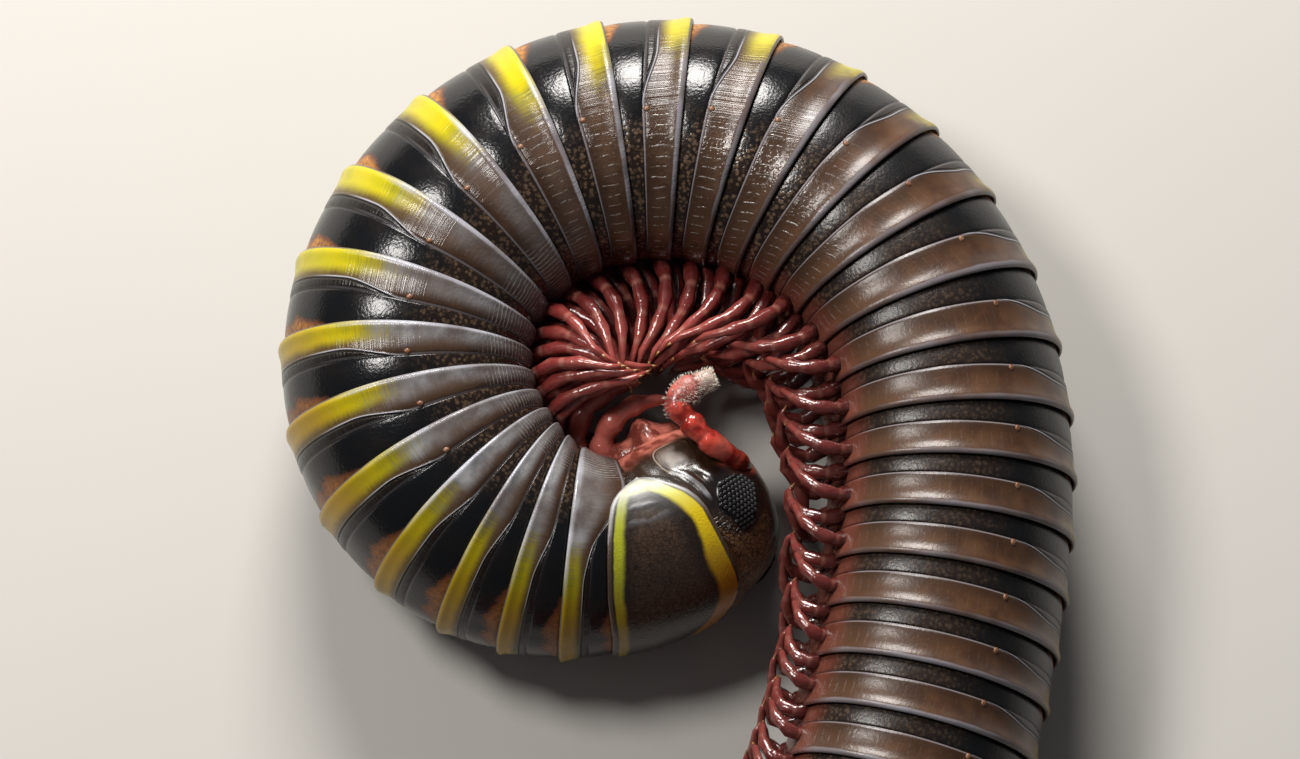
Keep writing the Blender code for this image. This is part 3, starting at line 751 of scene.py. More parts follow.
def head_material(paint):
    """Dark brown: a net over the crown, a translucent cheek plate and red skin round the sockets."""
    finish = Finish("head_capsule", Specular_IOR_Level=0.6)
    turn, ahead, lift = finish.marks()
    net = finish.cells(8.5, "DISTANCE_TO_EDGE")
    blur = finish.noise(1.5, 3)
    stir = blur - 0.5
    grain = finish.noise(7, 2)
    folds = finish.noise(2.2, 1)
    crown = (1 - (turn + stir * 20).ease(44, 66)) * (1 - (ahead + stir * 0.5).ease(1.5, 2.0))
    plate = finish.box(ahead, turn, CHEEK_PLATE) + stir * 0.45
    inside = 1 - plate.ease(0.75, 1.0)
    clear = finish.layers(
        (0.1, 0.055, 0.03),
        (blur.ease(0.42, 0.58), (0.045, 0.024, 0.014)),
        (plate.close_to(0.72, 0.1) * 0.7, (0.02, 0.011, 0.007)))
    socket = finish.oval(ahead, turn, SOCKET_SKIN) + stir * 0.3
    eye = finish.oval(ahead, turn, EYE_STAIN) + stir * 0.2
    # painted sheen: silver on the raised folds between the cheek plate and the collar
    ridge = lift.ease(0.02, 0.05) * (1 - inside) * (1 - ahead.ease(0.9, 1.1))
    ridge = ridge * (0.4 + 0.6 * folds.ease(0.35, 0.6))
    # the crown's beads are partly their own brown and partly painted light, lightened where the lamps don't
    # reach
    bead_colour_with_painted_light = finish.mix(grain.ease(0.3, 0.7), (0.42, 0.22, 0.09), (0.24, 0.11, 0.042))
    mouth = finish.mix(folds.ease(0.4, 0.6), (0.17, 0.038, 0.026), paint.mouth_pink)
    colour = finish.layers(
        paint.head_brown,
        (grain.ease(0.35, 0.7), (0.014, 0.007, 0.004)),
        (net.ease(0.02, 0.1) * crown * 0.9, bead_colour_with_painted_light),
        (ahead.ease(1.9, 2.25) * 0.7, (0.035, 0.014, 0.008)),
        ((turn + stir * 12).ease(110, 122) * 0.85, mouth),
        (inside * 0.8, clear),
        # the pale line on the cheek plate's back edge is a painted highlight
        (plate.close_to(1.0, 0.07) * (1 - ahead.ease(0.6, 1.0)) * 0.65, (0.38, 0.32, 0.26)),
        ((1 - socket.ease(0.75, 1.1)) * 0.85, finish.mix(grain, (0.16, 0.024, 0.016), (0.3, 0.07, 0.045))),
        ((1 - eye.ease(0.9, 1.15)) * 0.85, (0.008, 0.006, 0.006)),
        (ridge * 0.65, (0.3, 0.3, 0.32)))
    beads = net.ease(0.02, 0.16) * crown
    rough = 0.22 + 0.12 * stir + 0.14 * crown + 0.2 * inside
    height = finish.noise(20, 2) * 0.6 + beads * 3.2 + folds * 4
    return finish.feed(colour, rough, finish.bump(height, 0.006 * MM))


def eye_material():
    finish = Finish("eye_facets", Specular_IOR_Level=0.35)
    spots = finish.noise(3, 1)
    rough = 0.16 + 0.1 * spots + 0.3 * finish.axis(0).ease(3.7, 4.5)
    return finish.feed(finish.mix(spots, (0.003, 0.003, 0.004), (0.008, 0.007, 0.008)), rough)


def leg_material(paint):
    """Translucent wine red that pales at the joints and toward the claw."""
    finish = Finish(
        "leg_cuticle", Specular_IOR_Level=0.7, Subsurface_Weight=0.12, Subsurface_Scale=0.2 * MM,
        Subsurface_Radius=(1.0, 0.25, 0.15))
    along, painted_shade_and_light, number = finish.marks()
    blur = finish.noise(3.2, 2)
    deep = finish.mix(finish.along(number, 3.1, 0), paint.leg_red, (0.15, 0.026, 0.024))
    colour = finish.layers(
        (0.06, 0.008, 0.007),
        (along.ease(0.2, 0.55), deep),
        (along.ease(0.5, 0.95) * 0.7, (0.4, 0.09, 0.075)),
        *((along.close_to(waist, 0.03) * 0.45, (0.45, 0.2, 0.15)) for waist in LEG_WAISTS),
        (blur.ease(0.45, 0.75) * 0.35, (0.34, 0.1, 0.075)),
        # painted shade darkens the legs far round the coil; painted light brightens the held legs
        (painted_shade_and_light.ease(0, 1) * 0.55, (0.045, 0.012, 0.01)),
        ((0 - painted_shade_and_light).ease(0, 1) * (1 - blur * 0.5), (0.52, 0.13, 0.1)))
    return finish.feed(colour, 0.12 + 0.12 * blur, finish.bump(finish.noise(7, 2), 0.02 * MM))


def mouth_material(paint):
    """Soft pink-brown skin with darker folds."""
    finish = Finish(
        "mouth_skin", Specular_IOR_Level=0.6, Subsurface_Weight=0.25, Subsurface_Scale=0.25 * MM,
        Subsurface_Radius=(1.0, 0.3, 0.2))
    _, groove, _ = finish.marks()
    blur = finish.noise(2.2, 3)
    colour = finish.layers(
        (0.16, 0.036, 0.024),
        (blur.ease(0.4, 0.6), paint.mouth_pink),
        (groove.ease(0.02, 0.07) * 0.7, (0.09, 0.02, 0.014)))
    return finish.feed(colour, 0.18 + 0.15 * blur, finish.bump(finish.noise(4, 2), 0.05 * MM))


def claw_material(paint):
    finish = Finish("claw_horn", Specular_IOR_Level=0.5)
    along, _, _ = finish.marks()
    colour = finish.mix(along.ease(0.1, 0.8), paint.claw_amber, (0.3, 0.12, 0.04))
    return finish.feed(colour, 0.25 + 0.1 * finish.noise(10, 1))


def antenna_material(paint):
    """Glassy red, paler at the joints and toward the tip."""
    finish = Finish(
        "feeler_cuticle", Specular_IOR_Level=0.6, Subsurface_Weight=0.3, Subsurface_Scale=0.3 * MM,
        Subsurface_Radius=(1.0, 0.25, 0.12))
    along, joint, _ = finish.marks()
    blur = finish.noise(2.8, 2)
    colour = finish.layers(
        paint.antenna_red,
        (blur.ease(0.38, 0.62), (0.22, 0.014, 0.009)),
        ((1 - along.ease(0.05, 0.3)) * 0.8, (0.1, 0.012, 0.008)),
        (joint.ease(0.25, 0.7) * (1 - along.ease(0.6, 0.75)) * 0.4, (0.6, 0.17, 0.12)),
        (along.ease(0.62, 0.8) * 0.6, (0.5, 0.2, 0.17)),
        (along.ease(0.86, 0.92) * 0.75, (0.55, 0.47, 0.42)),
        ((1 - joint.ease(0.02, 0.12)) * 0.6, (0.14, 0.02, 0.014)))
    rough = 0.08 + 0.08 * blur + 0.25 * along.ease(0.62, 0.8)
    return finish.feed(colour, rough, finish.bump(finish.noise(7, 2), 0.02 * MM))


def down_material():
    finish = Finish("pale_down", Specular_IOR_Level=0.4)
    colour = finish.mix(finish.noise(2, 1), (0.75, 0.68, 0.55), (0.85, 0.82, 0.75))
    return finish.feed(colour, 0.4 + 0.1 * finish.noise(3, 1))


def pore_material():
    finish = Finish("pore_spot", Specular_IOR_Level=0.5)
    colour = finish.mix(finish.noise(6, 1).ease(0.35, 0.65), (0.13, 0.045, 0.016), (0.22, 0.11, 0.06))
    return finish.feed(colour, 0.3 + 0.1 * finish.noise(4, 1))


def floor_material(studio):
    finish = Finish("plain_floor")
    darker = [0.97 * part for part in studio.floor_colour]
    colour = finish.mix(finish.noise(0.05, 2), studio.floor_colour, darker)
    return finish.feed(colour, 0.75 + 0.1 * finish.noise(0.2, 2))


def seam_fraction(stretch):
    """Share of a ring's pitch ahead of its seam: the rear zone keeps most of its length in a bend."""
    rear = 0.65 + np.where(stretch > 1, 0.25, 0.55) * (stretch - 1)
    return np.clip(1 - rear / stretch, 0.06, 0.6)


def ring_rows(ring):
    """Points and pattern values of one closed ring; the second reaches forward below the collar's lobe."""
    angle = round_angles(COLUMNS)
    turn = fold(angle)
    start = RING_ENDS[ring - 1] - (COLLAR_LAP if ring == 2 else 0) * ease(turn, 60, 104)
    end = RING_ENDS[ring]
    middle = (start + end) / 2
    pitch = end - start
    reach = BODY.at("radius", middle) * section_share(angle)
    stretch = np.maximum(0.3, BODY.stretch(middle, angle, reach))
    seam = seam_fraction(stretch)
    if ring == 2:
        seam = seam * (1 - 0.8 * ease(turn, 55, 88))
    swell = (0.5 * ease(turn, 48, 80) + 0.5 * ease(turn, 92, 118)) * (1 - ease(turn, 150, 170))
    swell = 0.03 * swell * (1 - ease(ring, 13, 18))
    points, marks = [], []
    for part, place, share in RING_PROFILE:
        bulge = 0.0
        if part == "hidden":
            along = -place * HIDDEN_REACH
            zone = -1.0
        elif part == "front":
            along = place * seam
            zone = -(1 - place) * seam * pitch * stretch / MM
        else:
            along = seam + place * (1 - seam)
            zone = place if part == "rear" else 2 - place
        if part == "rear":
            bulge = swell * (math.sin(math.pi * min(1, place * 1.02)) - 0.35)
        s = start + along * pitch
        points.append(BODY.surface(s, angle, BODY.at("radius", s) * section_share(angle) * (share + bulge)))
        marks.append(mark(turn, zone, along * pitch * stretch / MM))
    return over_floor(points, marks)


def add_pore(mesh, ring, side):
    """The small raised opening of a ring's gland, at the end of the seam's groove."""
    angle = math.radians(PORE_ANGLE) * side
    start, end = RING_ENDS[ring - 1], RING_ENDS[ring]
    middle = (start + end) / 2
    stretch = float(BODY.stretch(middle, angle, BODY.at("radius", middle)))
    seam = float(seam_fraction(np.array(stretch)))
    s = start + (seam + 0.12 * (1 - seam)) * (end - start)
    centre = Vector(BODY.surface(s, angle, BODY.at("radius", s) * 0.968))
    outward = (centre - Vector(BODY.centre(s))).normalized()
    place = facing(centre, outward) @ Matrix.Diagonal((*PORE_SIZE, 1))
    bmesh.ops.create_uvsphere(mesh, **DOME_MESH, radius=1, matrix=place)


def leg_stations(ring):
    """Two pairs of legs stand on most rings and one pair on each of the first three."""
    start, end = RING_ENDS[ring - 1], RING_ENDS[ring]
    shares = (0.55,) if ring < 5 else (0.28, 0.78)
    return [start + (end - start) * share for share in shares]


def leg_route(s, side, length, lean, bow):
    """A curved line from inside the belly out over the loop, bowed toward the tail."""
    tailward, dorsal, left = (Vector(way) for way in BODY.directions(s))
    radius = float(BODY.at("radius", s))
    root = radius * LEG_ROOT_DEPTH
    free = 1 / float(BODY.at("bend", s)) - LEG_LOOP_CLEARANCE - root
    ring = float(np.interp(s, RING_ENDS, np.arange(RING_COUNT + 1)))
    length *= between(LEG_SHARES, ring)
    forward = between(LEG_FORWARDS, ring) * MM
    bend = math.radians(between(LEG_BENDS, ring))
    reach = min(length * between(LEG_REACHES, ring), free)
    middle = math.acos(min(1, reach * bend / length / math.sin(bend)))
    middle = min(middle, math.radians(LEG_SPREAD) - bend) + math.radians(lean)
    point = Vector(BODY.centre(s)) - dorsal * root + left * side * radius * LEG_ROOT_SIDE
    route = []
    last = 0.0
    for share, _ in LEG_PROFILE:
        angle = middle + bend * (1 - (share + last))
        ahead = left * side * math.sin(angle) - dorsal * math.cos(angle)
        point = point + ahead * length * (share - last)
        last = share
        sway = bow * (math.sin(math.pi * min(1, share * 1.08)) - 0.9 * share**3) - forward * share**1.4
        route.append(point + tailward * sway)
    return route


def held_route(number, side, shares):
    """The line of one of the first legs; those of the right side are drawn in, over the floor."""
    inward = 1 if side > 0 else 0.75
    corners = [(ahead, dorsal, left * side * inward) for ahead, dorsal, left in HELD_LEGS[number]]
    return [Vector(point) for point in curve_through(head_points(corners), shares)]


def keep_clear(point, radius):
    """Over the floor and off the head."""
    middle = Vector(head_point(HEAD_LENGTH * 0.25, 0, 0))
    away = point - middle
    if away.length < HEAD_CLEARANCE + radius:
        point = middle + away.normalized() * (HEAD_CLEARANCE + radius)
    point.z = max(point.z, LEG_FLOOR)
    return point


def collum_edges(turn):
    """Front and rear edge of the collar's shield along the midline, by degrees from the back to the left."""
    front = between((
        (-100, 0.8), (-97, 0.48), (-92, 0.24), (-84, 0.03), (-77, -0.08), (-68, -0.02), (-58, 0.2),
        (-45, 0.38), (-30, 0.42), (-20, 0.27), (-12, 0.1), (-5, -0.05), (0, -0.15), (8, -0.3), (16, -0.37),
        (26, -0.39), (36, -0.41), (45, -0.44), (54, -0.48), (62, -0.5), (70, -0.45), (77, -0.34),
        (84, -0.15), (92, 0.12), (97, 0.43), (100, 0.8),
    ), turn)
    rear = between((
        (0, 2.2), (30, 2.24), (50, 2.2), (65, 2.14), (76, 2.05), (83, 1.95), (88, 1.82), (92, 1.63),
        (96, 1.35), (98.5, 1.1), (100, 0.8),
    ), np.abs(turn))
    return front * MM, rear * MM


def collum_points():
    """The shield as one closed sheet, its outline gathered to a point on each side."""
    shares = np.linspace(-1, 1, COLUMNS + 1)
    angle = np.radians(COLLAR_APEX * np.sin(shares * math.pi / 2))
    turn = np.abs(np.degrees(angle))
    front, rear = collum_edges(np.degrees(angle))
    points, marks = [], []
    for place, share in COLLAR_PROFILE:
        s = front + place * (rear - front)
        points.append(BODY.surface(s, angle, BODY.at("radius", s) * share))
        stretch = BODY.stretch(np.maximum(s, 0), angle, BODY.at("radius", s))
        side = np.radians(COLLAR_APEX - turn) * BODY.at("radius", s) / MM
        ahead = np.minimum((s - front) * stretch / MM, side)
        behind = np.minimum((rear - s) * stretch / MM, side)
        marks.append(mark(turn, ahead, behind))
    return over_floor([*points, points[0]], [*marks, marks[0]])


def away_from(ahead, turn, place):
    """Passes 1 at the edge of an oval with a given middle and half sizes."""
    return np.hypot((ahead - place[0]) / place[2], (turn - place[1]) / place[3])


def bell(value, width):
    return np.exp(-((value / width) ** 2))


def head_relief(ahead, turn):
    """How far the head's plates, sockets and grooves stand out from its plain form, mm."""
    long, wide = (ahead - CHEEK_PLATE[0]) / CHEEK_PLATE[2], (turn - CHEEK_PLATE[1]) / CHEEK_PLATE[3]
    lift = 0.02 * (1 - ease((long**4 + wide**4) ** 0.25, 0.7, 1.05))
    ridge = np.interp(turn, (45, 55, 65, 76, 88, 97), (0.64, 0.7, 0.72, 0.68, 0.5, 0.2))
    lift += 0.06 * bell(ahead - ridge, 0.1) * ease(turn, 58, 70) * (1 - ease(turn, 90, 99))
    lift -= 0.04 * bell(ahead - ridge - 0.2, 0.09) * ease(turn, 50, 66) * (1 - ease(turn, 80, 92))
    lift += 0.05 * (1 - ease(away_from(ahead, turn, (1.06, 77, 0.26, 8)), 0.0, 1.0))
    socket = away_from(ahead, turn, SOCKET)
    lift += 0.06 * bell(socket - 1.0, 0.28) - 0.12 * (1 - ease(socket, 0.3, 0.95))
    lift -= 0.03 * bell(turn, 2.2) * ease(ahead, 0.2, 0.5) * (1 - ease(ahead, 1.7, 2.1))
    lift -= 0.16 * bell(180 - turn, 11) * ease(ahead, 1.3, 2.0)
    lift -= 0.04 * bell(ahead - 1.55, 0.06) * ease(turn, 120, 140)
    return lift


def head_surface(ahead, angle):
    """A point on the head's skin, by its distance ahead of the head's back and its angle from the crown."""
    turn = fold(angle)
    radius = float(BODY.at("radius", 0.0)) * FRONT_SHARE
    share = np.clip(ahead / HEAD_LENGTH, 0, 1)
    width = (1 - share**2.4) ** (1 / 2.6)
    cheek = 0.05 * ease(turn, 85, 115) * (1 - ease(turn, 128, 150)) * (1 - ease(share, 0.45, 0.8))
    lip = 0.1 * ease(turn, 150, 172) * ease(share, 0.3, 0.6)
    slope = 0.09 * (1 - ease(turn, 15, 62)) * ease(ahead, 0.0, 0.6 * MM)
    relief = head_relief(ahead / MM, turn) * MM * ease(width, 0.1, 0.45)
    reach = radius * (section_share(angle) * 0.985 + cheek - lip - slope) * width + relief
    return head_point(ahead, reach * np.cos(angle), reach * np.sin(angle))


def head_rows():
    """The capsule from its root inside the collar to its front."""
    angle = round_angles(HEAD_COLUMNS)
    turn = fold(angle)
    front, _ = collum_edges(np.clip(np.degrees(angle), -99, 99))
    radius = float(BODY.at("radius", 0.0)) * FRONT_SHARE
    points, marks = [], []
    for s_back in (0.9, 0.45):
        points.append(BODY.surface(front + s_back * MM, angle, radius * 0.93 * section_share(angle)))
        marks.append(mark(turn, 0, 0))
    shares = np.concatenate([[0.0], np.sin(np.linspace(0.05, 1, HEAD_ROWS) * math.pi / 2) ** 0.9])
    for share in shares[:-1]:
        ahead = share * HEAD_LENGTH - front * (1 - ease(share, 0, 0.3))
        points.append(head_surface(ahead, angle))
        marks.append(mark(turn, ahead / MM, head_relief(ahead / MM, turn)))
    return over_floor(points, marks)


def mouth_rows():
    """The plump plate that closes the mouth from below, with a groove in its middle and one on each side."""
    angle = round_angles(48)
    across = np.sin(angle)
    groove = 0.09 * bell(across, 0.07) + 0.06 * bell(np.abs(across) - 0.55, 0.07)
    points, marks = [], []
    for share in np.sin(np.linspace(-0.96, 0.96, 21) * math.pi / 2):
        width = (1 - abs(share) ** 2.4) ** (1 / 2.2)
        plump = 1 + 0.12 * math.sin(share * 7 + 0.6) - groove
        deep = MOUTH_SIZE[1] * width * np.cos(angle) * plump
        side = MOUTH_SIZE[2] * width * across * plump
        ahead = MOUTH_PLACE[0] + MOUTH_SIZE[0] * share
        points.append(head_point(ahead * MM, (MOUTH_PLACE[1] - deep) * MM, side * MM))
        marks.append(mark(share, groove, across))
    return over_floor(points, marks, LEG_FLOOR)


def head_points(corners):
    """Corners in mm on the head, as points."""
    return [Vector(head_point(*(value * MM for value in corner))) for corner in corners]


def eye_patch(mesh, side, radius):
    """A low mound on the head with the outline of the eye, set with close rows of round facets."""
    head = new_mesh()
    add_capped_sheet(head, *head_rows())
    tree = BVHTree.FromBMesh(head)
    head.free()
    centre = Vector(head_point(EYE_PLACE[0], EYE_PLACE[1], EYE_PLACE[2] * side))
    outward = head_vector(EYE_OUTWARD[0], EYE_OUTWARD[1], EYE_OUTWARD[2] * side)
    forward = head_vector(1, 0, 0)
    across = (forward - outward * outward.dot(forward)).normalized()
    upward = outward.cross(across)
    corners = []
    for point in head_points([(ahead, dorsal, left * side) for ahead, dorsal, left in EYE_CORNERS]):
        x, y = (point - centre).dot(across), (point - centre).dot(upward)
        corners.append((math.atan2(y, x), math.hypot(x, y)))
    angles, reaches = zip(*sorted(corners))

    def edge(angle):
        return float(np.interp(angle, angles, reaches, period=2 * math.pi))

    def on_head(x, y, lift):
        hit, normal, _, _ = tree.ray_cast(centre + across * x + upward * y + outward * MM, -outward)
        return hit + normal * lift, normal

    rows = []
    for share, lift in EYE_MOUND:
        row = []
        for step in range(EYE_COLUMNS + 1):
            angle = 2 * math.pi * (step % EYE_COLUMNS) / EYE_COLUMNS
            reach = edge(angle) * share
            row.append(on_head(reach * math.cos(angle), reach * math.sin(angle), lift * MM)[0])
        rows.append(row)
    add_capped_sheet(mesh, np.array(rows), (0, 0, 0))
    steps = range(-FACET_ROWS, FACET_ROWS + 1)
    for row, step in itertools.product(steps, steps):
        u = row * radius * FACET_STEPS[0]
        v = (step + 0.5 * (row % 2)) * radius * FACET_STEPS[1]
        x = u * math.cos(FACET_SLANT) - v * math.sin(FACET_SLANT)
        y = u * math.sin(FACET_SLANT) + v * math.cos(FACET_SLANT)
        if math.hypot(x, y) <= edge(math.atan2(y, x)) - radius * FACET_MARGIN:
            dome = facing(*on_head(x, y, FACET_LIFT)) @ Matrix.Diagonal((1, 1, FACET_HEIGHT, 1))
            bmesh.ops.create_uvsphere(mesh, **DOME_MESH, radius=radius, matrix=dome)


def curve_through(points, shares):
    """Places on a smooth curve through a few points, by their share of its length."""
    places = []
    for i in range(len(points) - 1):
        before = points[max(0, i - 1)]
        after = points[min(len(points) - 1, i + 2)]
        a, b = points[i], points[i + 1]
        for step in range(24):
            t = step / 24
            places.append(((2 * a) + (b - before) * t + (2 * before - 5 * a + 4 * b - after) * t * t
                           + (3 * a - before - 3 * b + after) * t**3) / 2)
    places.append(points[-1])
    lengths = np.concatenate([[0.0], np.cumsum([(b - a).length for a, b in zip(places, places[1:])])])
    table = np.array(places)
    marks = np.asarray(shares) * lengths[-1]
    return np.stack([np.interp(marks, lengths, table[:, axis]) for axis in range(3)], axis=-1)


def antenna_profile(share):
    """Thickness and distance from the nearest joint: each joint is widest at its far end."""
    return float(between(ANTENNA_WIDTHS, share)), min(abs(share - joint) for joint in ANTENNA_JOINTS) * 6


class MILLIPEDE_OT_rings(Operator):
    """Builds the ringed trunk, one piece for each length, with the gland openings along its sides"""

    bl_idname = "millipede.rings"
    bl_label = "Rings"

    def execute(self, context):
        paint = context.scene.millipede_colours
        shell = ring_shell_material(paint)
        for number, (first, last) in enumerate(TRUNK_LENGTHS, start=1):
            mesh = new_mesh()
            for ring in range(first, last + 1):
                add_capped_sheet(mesh, *ring_rows(ring))
            finish_piece(f"rings_{number}", mesh, shell, [f"trunk_{number}"])
        pores = new_mesh()
        for ring in range(FIRST_PORE_RING, RING_COUNT - 1):
            for side in (1, -1):
                add_pore(pores, ring, side)
        finish_piece("gland_openings", pores, pore_material())
        return {"FINISHED"}


class MILLIPEDE_OT_collum(Operator):
    """Builds the collar, the broad shield behind the head"""

    bl_idname = "millipede.collum"
    bl_label = "Collar"

    def execute(self, context):
        mesh = new_mesh()
        add_sheet(mesh, *collum_points())
        finish_piece("collar_shield", mesh, collum_material(), ["collum"])
        return {"FINISHED"}


class MILLIPEDE_OT_head(Operator):
    """Builds the head capsule and the soft plate below its mouth"""

    bl_idname = "millipede.head"
    bl_label = "Head"

    def execute(self, context):
        mesh = new_mesh()
        add_capped_sheet(mesh, *head_rows())
        paint = context.scene.millipede_colours
        finish_piece("head_capsule", mesh, head_material(paint), ["head"])
        mouth = new_mesh()
        add_capped_sheet(mouth, *mouth_rows())
        finish_piece("mouth_plate", mouth, mouth_material(paint))
        return {"FINISHED"}


class MILLIPEDE_OT_eyes(Operator):
    """Builds both eye patches, each a low mound set with rows of round facets"""

    bl_idname = "millipede.eyes"
    bl_label = "Eyes"

    def execute(self, context):
        radius = context.scene.millipede_sizes.ocellus_radius
        material = eye_material()
        for name, side in (("left", 1), ("right", -1)):
            mesh = new_mesh()
            eye_patch(mesh, side, radius)
            finish_piece(f"{name}_eye_patch", mesh, material, [f"{name}_eye"])
        return {"FINISHED"}


class MILLIPEDE_OT_antennae(Operator):
    """Builds both feelers, of seven joints each, and the pale down at their tips"""

    bl_idname = "millipede.antennae"
    bl_label = "Feelers"

    def execute(self, context):
        sizes = context.scene.millipede_sizes
        material = antenna_material(context.scene.millipede_colours)
        down = down_material()
        rng = np.random.default_rng(11)
        shares = np.linspace(0, 1, ANTENNA_STATIONS)
        for name, places in (("left", LEFT_ANTENNA), ("right", RIGHT_ANTENNA)):
            route = curve_through(head_points(places), shares)
            radii, marks = [], []
            for share in shares:
                width, joint = antenna_profile(share)
                radii.append(ANTENNA_RADIUS * width)
                marks.append((share, joint, 0))
            mesh = new_mesh()
            add_tube(mesh, route, radii, ANTENNA_SIDES, marks)
            finish_piece(f"{name}_feeler", mesh, material, [f"{name}_antenna"])
            hairs = new_mesh()
            add_down(hairs, route, radii, sizes.hair_length, rng)
            finish_piece(f"{name}_down", hairs, down)
        return {"FINISHED"}


def add_down(mesh, route, radii, length, rng):
    """Fine cones that stand off the far joints of a feeler, thickest at its tip."""
    count = len(route)
    for _ in range(HAIR_COUNT):
        share = 1 - 0.36 * rng.random() ** 1.4
        i = min(count - 2, int(share * (count - 1)))
        ahead = Vector(route[i + 1] - route[i]).normalized()
        side = ahead.orthogonal().normalized()
        side.rotate(Matrix.Rotation(rng.random() * 2 * math.pi, 3, ahead))
        root = Vector(route[i]) + side * radii[i] * 0.97
        out = (side + ahead * (0.1 + 0.7 * rng.random() + 12 * max(0, share - 0.9))).normalized()
        long = length * (0.5 + 0.6 * rng.random())
        spot = facing(root + out * long / 2, out)
        bmesh.ops.create_cone(mesh, cap_ends=True, segments=3, **HAIR_RADII, depth=long, matrix=spot)


class MILLIPEDE_OT_legs(Operator):
    """Builds the legs and their claws, one piece for each length of trunk"""

    bl_idname = "millipede.legs"
    bl_label = "Legs"

    def execute(self, context):
        sizes = context.scene.millipede_sizes
        paint = context.scene.millipede_colours
        material = leg_material(paint)
        rng = np.random.default_rng(7)
        claws = new_mesh()
        for number, (first, last) in enumerate(TRUNK_LENGTHS, start=1):
            mesh = new_mesh()
            for ring in range(first, min(last, LAST_LEG_RING) + 1):
                for s, lean in zip(leg_stations(ring), LEG_LEANS):
                    for side in (1, -1):
                        add_leg(mesh, claws, s, side, lean, sizes, rng)
            finish_piece(f"legs_{number}", mesh, material)
        finish_piece("claws", claws, claw_material(paint))
        return {"FINISHED"}


def add_leg(mesh, claws, s, side, lean, sizes, rng):
    """One leg and its claw; a held one has more stations and sides, and -1 for its dusk."""
    scale = float(BODY.at("radius", s)) / BODY_RADIUS
    lean = lean + rng.normal(0, 3)
    bow = (0.42 + 0.12 * rng.random()) * MM
    length = sizes.leg_length * (0.4 + 0.6 * scale) * (1 + rng.normal(0, 0.02))
    index = int(np.searchsorted(RING_ENDS, s)) - 2
    held = index < len(HELD_LEGS)
    thick = sizes.leg_radius * (0.5 + 0.5 * scale) * (HELD_WIDTH if held else 1)
    shares = np.linspace(0, 1, HELD_STATIONS) if held else [share for share, _ in LEG_PROFILE]
    radii = [thick * float(between(LEG_PROFILE, share)) for share in shares]
    route = held_route(index, side, shares) if held else leg_route(s, side, length, lean, bow)
    route = [keep_clear(point, radius) for point, radius in zip(route, radii)]
    # painted shade for the legs far round the coil, painted light (-1) for the held ones
    painted_shade_and_light = -1.0 if held else float(ease(index, 13, 19))
    number = rng.random()
    marks = [(share, painted_shade_and_light, number) for share in shares]
    add_tube(mesh, route, radii, HELD_SIDES if held else LEG_SIDES, marks)
    ahead = (route[-1] - route[-2]).normalized()
    claw = [route[-1] + ahead * reach * MM for reach, _ in CLAW_PROFILE]
    widths = [radii[-1] * share for _, share in CLAW_PROFILE]
    add_tube(claws, claw, widths, CLAW_SIDES, [(0, 0, 0), (0.5, 0, 0), (1, 0, 0)])


class MILLIPEDE_OT_telson(Operator):
    """Builds the tail's tip with its two closing valves"""

    bl_idname = "millipede.telson"
    bl_label = "Tail tip"

    def execute(self, context):
        start = RING_ENDS[RING_COUNT - 1]
        tailward, dorsal, left = BODY.directions(start)
        centre = BODY.centre(start)
        radius = float(BODY.at("radius", start)) * 0.97
        angle = round_angles(COLUMNS)
        across, side = np.cos(angle)[:, None], np.sin(angle)[:, None]
        mesh = new_mesh()
        points = []
        for share in TELSON_SHARES:
            width = (1 - max(0, share) ** 2.2) ** (1 / 2.2)
            step = 0.02 if share < TELSON_VALVES else -0.015
            split = bell(np.sin(angle), 0.05) * (0.05 if share > TELSON_VALVES + 0.02 else 0)
            reach = (radius * ((section_share(angle) + step) * width - split))[:, None]
            middle = centre + tailward * share * TELSON_LENGTH
            points.append(middle + dorsal * reach * across + left * reach * side)
        black = mark(fold(angle), TELSON_ZONE, 1)
        add_capped_sheet(mesh, *over_floor(points, [black] * len(points)))
        finish_piece("tail_tip", mesh, bpy.data.materials["ring_shell"], ["telson"])
        return {"FINISHED"}


class MILLIPEDE_OT_stage(Operator):
    """Sets up the floor, the soft lights and the camera"""

    bl_idname = "millipede.stage"
    bl_label = "Studio"

    def execute(self, context):
        studio = context.scene.millipede_studio
        mesh = bmesh.new()
        bmesh.ops.create_grid(mesh, x_segments=1, y_segments=1, size=FLOOR_HALF)
        data = bpy.data.meshes.new("floor")
        mesh.to_mesh(data)
        mesh.free()
        data.materials.append(floor_material(studio))
        floor = bpy.data.objects.new("floor", data)
        context.scene.collection.objects.link(floor)

        target = Vector(CAMERA_TARGET)
        elevation = math.radians(CAMERA_ELEVATION)
        toward = Vector((0, -math.cos(elevation), math.sin(elevation)))
        camera = bpy.data.cameras.new("camera")
        camera.lens = LENS
        camera.sensor_width = SENSOR
        camera.clip_start = 1 * MM
        view = bpy.data.objects.new("camera", camera)
        view.location = target + toward * FRAME_WIDTH * LENS / SENSOR
        view.rotation_euler = (-toward).to_track_quat("-Z", "Y").to_euler()
        context.scene.collection.objects.link(view)
        context.scene.camera = view

        for name, way, distance, size, share in LIGHTS:
            add_light(context, name, target, way, distance * MM, size * MM, studio.key_power * share)
        world = bpy.data.worlds.new("surroundings")
        world.use_nodes = True
        background = world.node_tree.nodes["Background"]
        background.inputs["Color"].default_value = SKY_COLOUR
        background.inputs["Strength"].default_value = studio.fill_strength
        context.scene.world = world
        context.scene.view_settings.view_transform = "Standard"
        return {"FINISHED"}


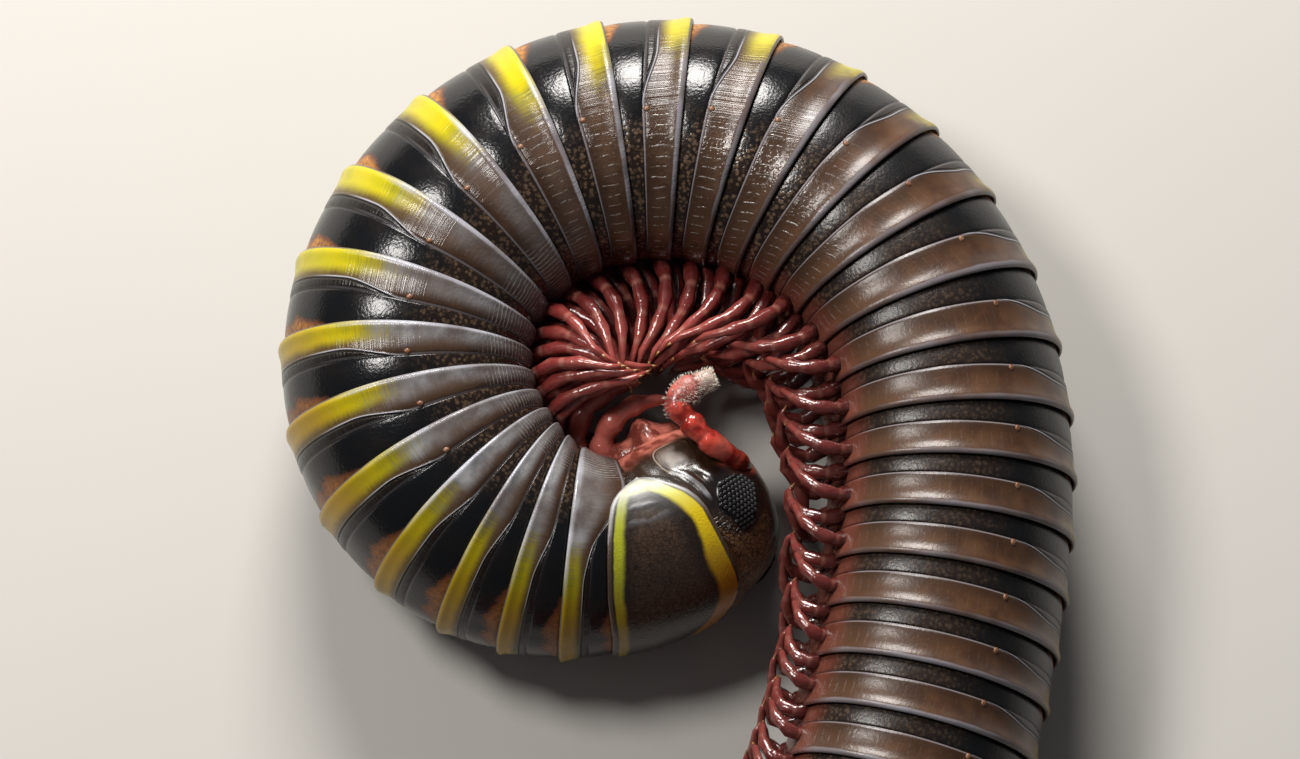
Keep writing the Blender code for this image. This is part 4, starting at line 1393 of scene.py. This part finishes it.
def add_light(context, name, target, way, distance, size, power):
    light = bpy.data.lights.new(name, "AREA")
    light.shape = "DISK"
    light.size = size
    light.energy = power
    light.color = LIGHT_COLOUR
    lamp = bpy.data.objects.new(name, light)
    direction = Vector(way).normalized()
    lamp.location = target + direction * distance
    lamp.rotation_euler = (-direction).to_track_quat("-Z", "Y").to_euler()
    context.scene.collection.objects.link(lamp)


class MILLIPEDE_PT_panel(Panel):
    """Lists the sizes, the colours and the pieces"""

    bl_label = "Millipede"
    bl_idname = "MILLIPEDE_PT_panel"
    bl_space_type = "VIEW_3D"
    bl_region_type = "UI"
    bl_category = "Millipede"

    def draw(self, context):
        scene = context.scene
        for group in (scene.millipede_sizes, scene.millipede_colours, scene.millipede_studio):
            for name in group.bl_rna.properties.keys():
                if name not in ("rna_type", "name"):
                    self.layout.prop(group, name)
        for piece in PIECES:
            self.layout.operator(piece.bl_idname)


PIECES = (
    MILLIPEDE_OT_rings, MILLIPEDE_OT_collum, MILLIPEDE_OT_head, MILLIPEDE_OT_eyes, MILLIPEDE_OT_antennae,
    MILLIPEDE_OT_legs, MILLIPEDE_OT_telson, MILLIPEDE_OT_stage,
)
GROUPS = (MillipedeSizes, MillipedeColours, StudioSettings)


def register():
    for entry in (*GROUPS, *PIECES, MILLIPEDE_PT_panel):
        bpy.utils.register_class(entry)
    bpy.types.Scene.millipede_sizes = PointerProperty(type=MillipedeSizes)
    bpy.types.Scene.millipede_colours = PointerProperty(type=MillipedeColours)
    bpy.types.Scene.millipede_studio = PointerProperty(type=StudioSettings)


def unregister():
    del bpy.types.Scene.millipede_sizes
    del bpy.types.Scene.millipede_colours
    del bpy.types.Scene.millipede_studio
    for entry in reversed((*GROUPS, *PIECES, MILLIPEDE_PT_panel)):
        bpy.utils.unregister_class(entry)


def main():
    register()
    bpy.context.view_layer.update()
    bpy.ops.millipede.rings()
    bpy.ops.millipede.collum()
    bpy.ops.millipede.head()
    bpy.ops.millipede.eyes()
    bpy.ops.millipede.antennae()
    bpy.ops.millipede.legs()
    bpy.ops.millipede.telson()
    bpy.ops.millipede.stage()


if __name__ == "__main__":
    main()
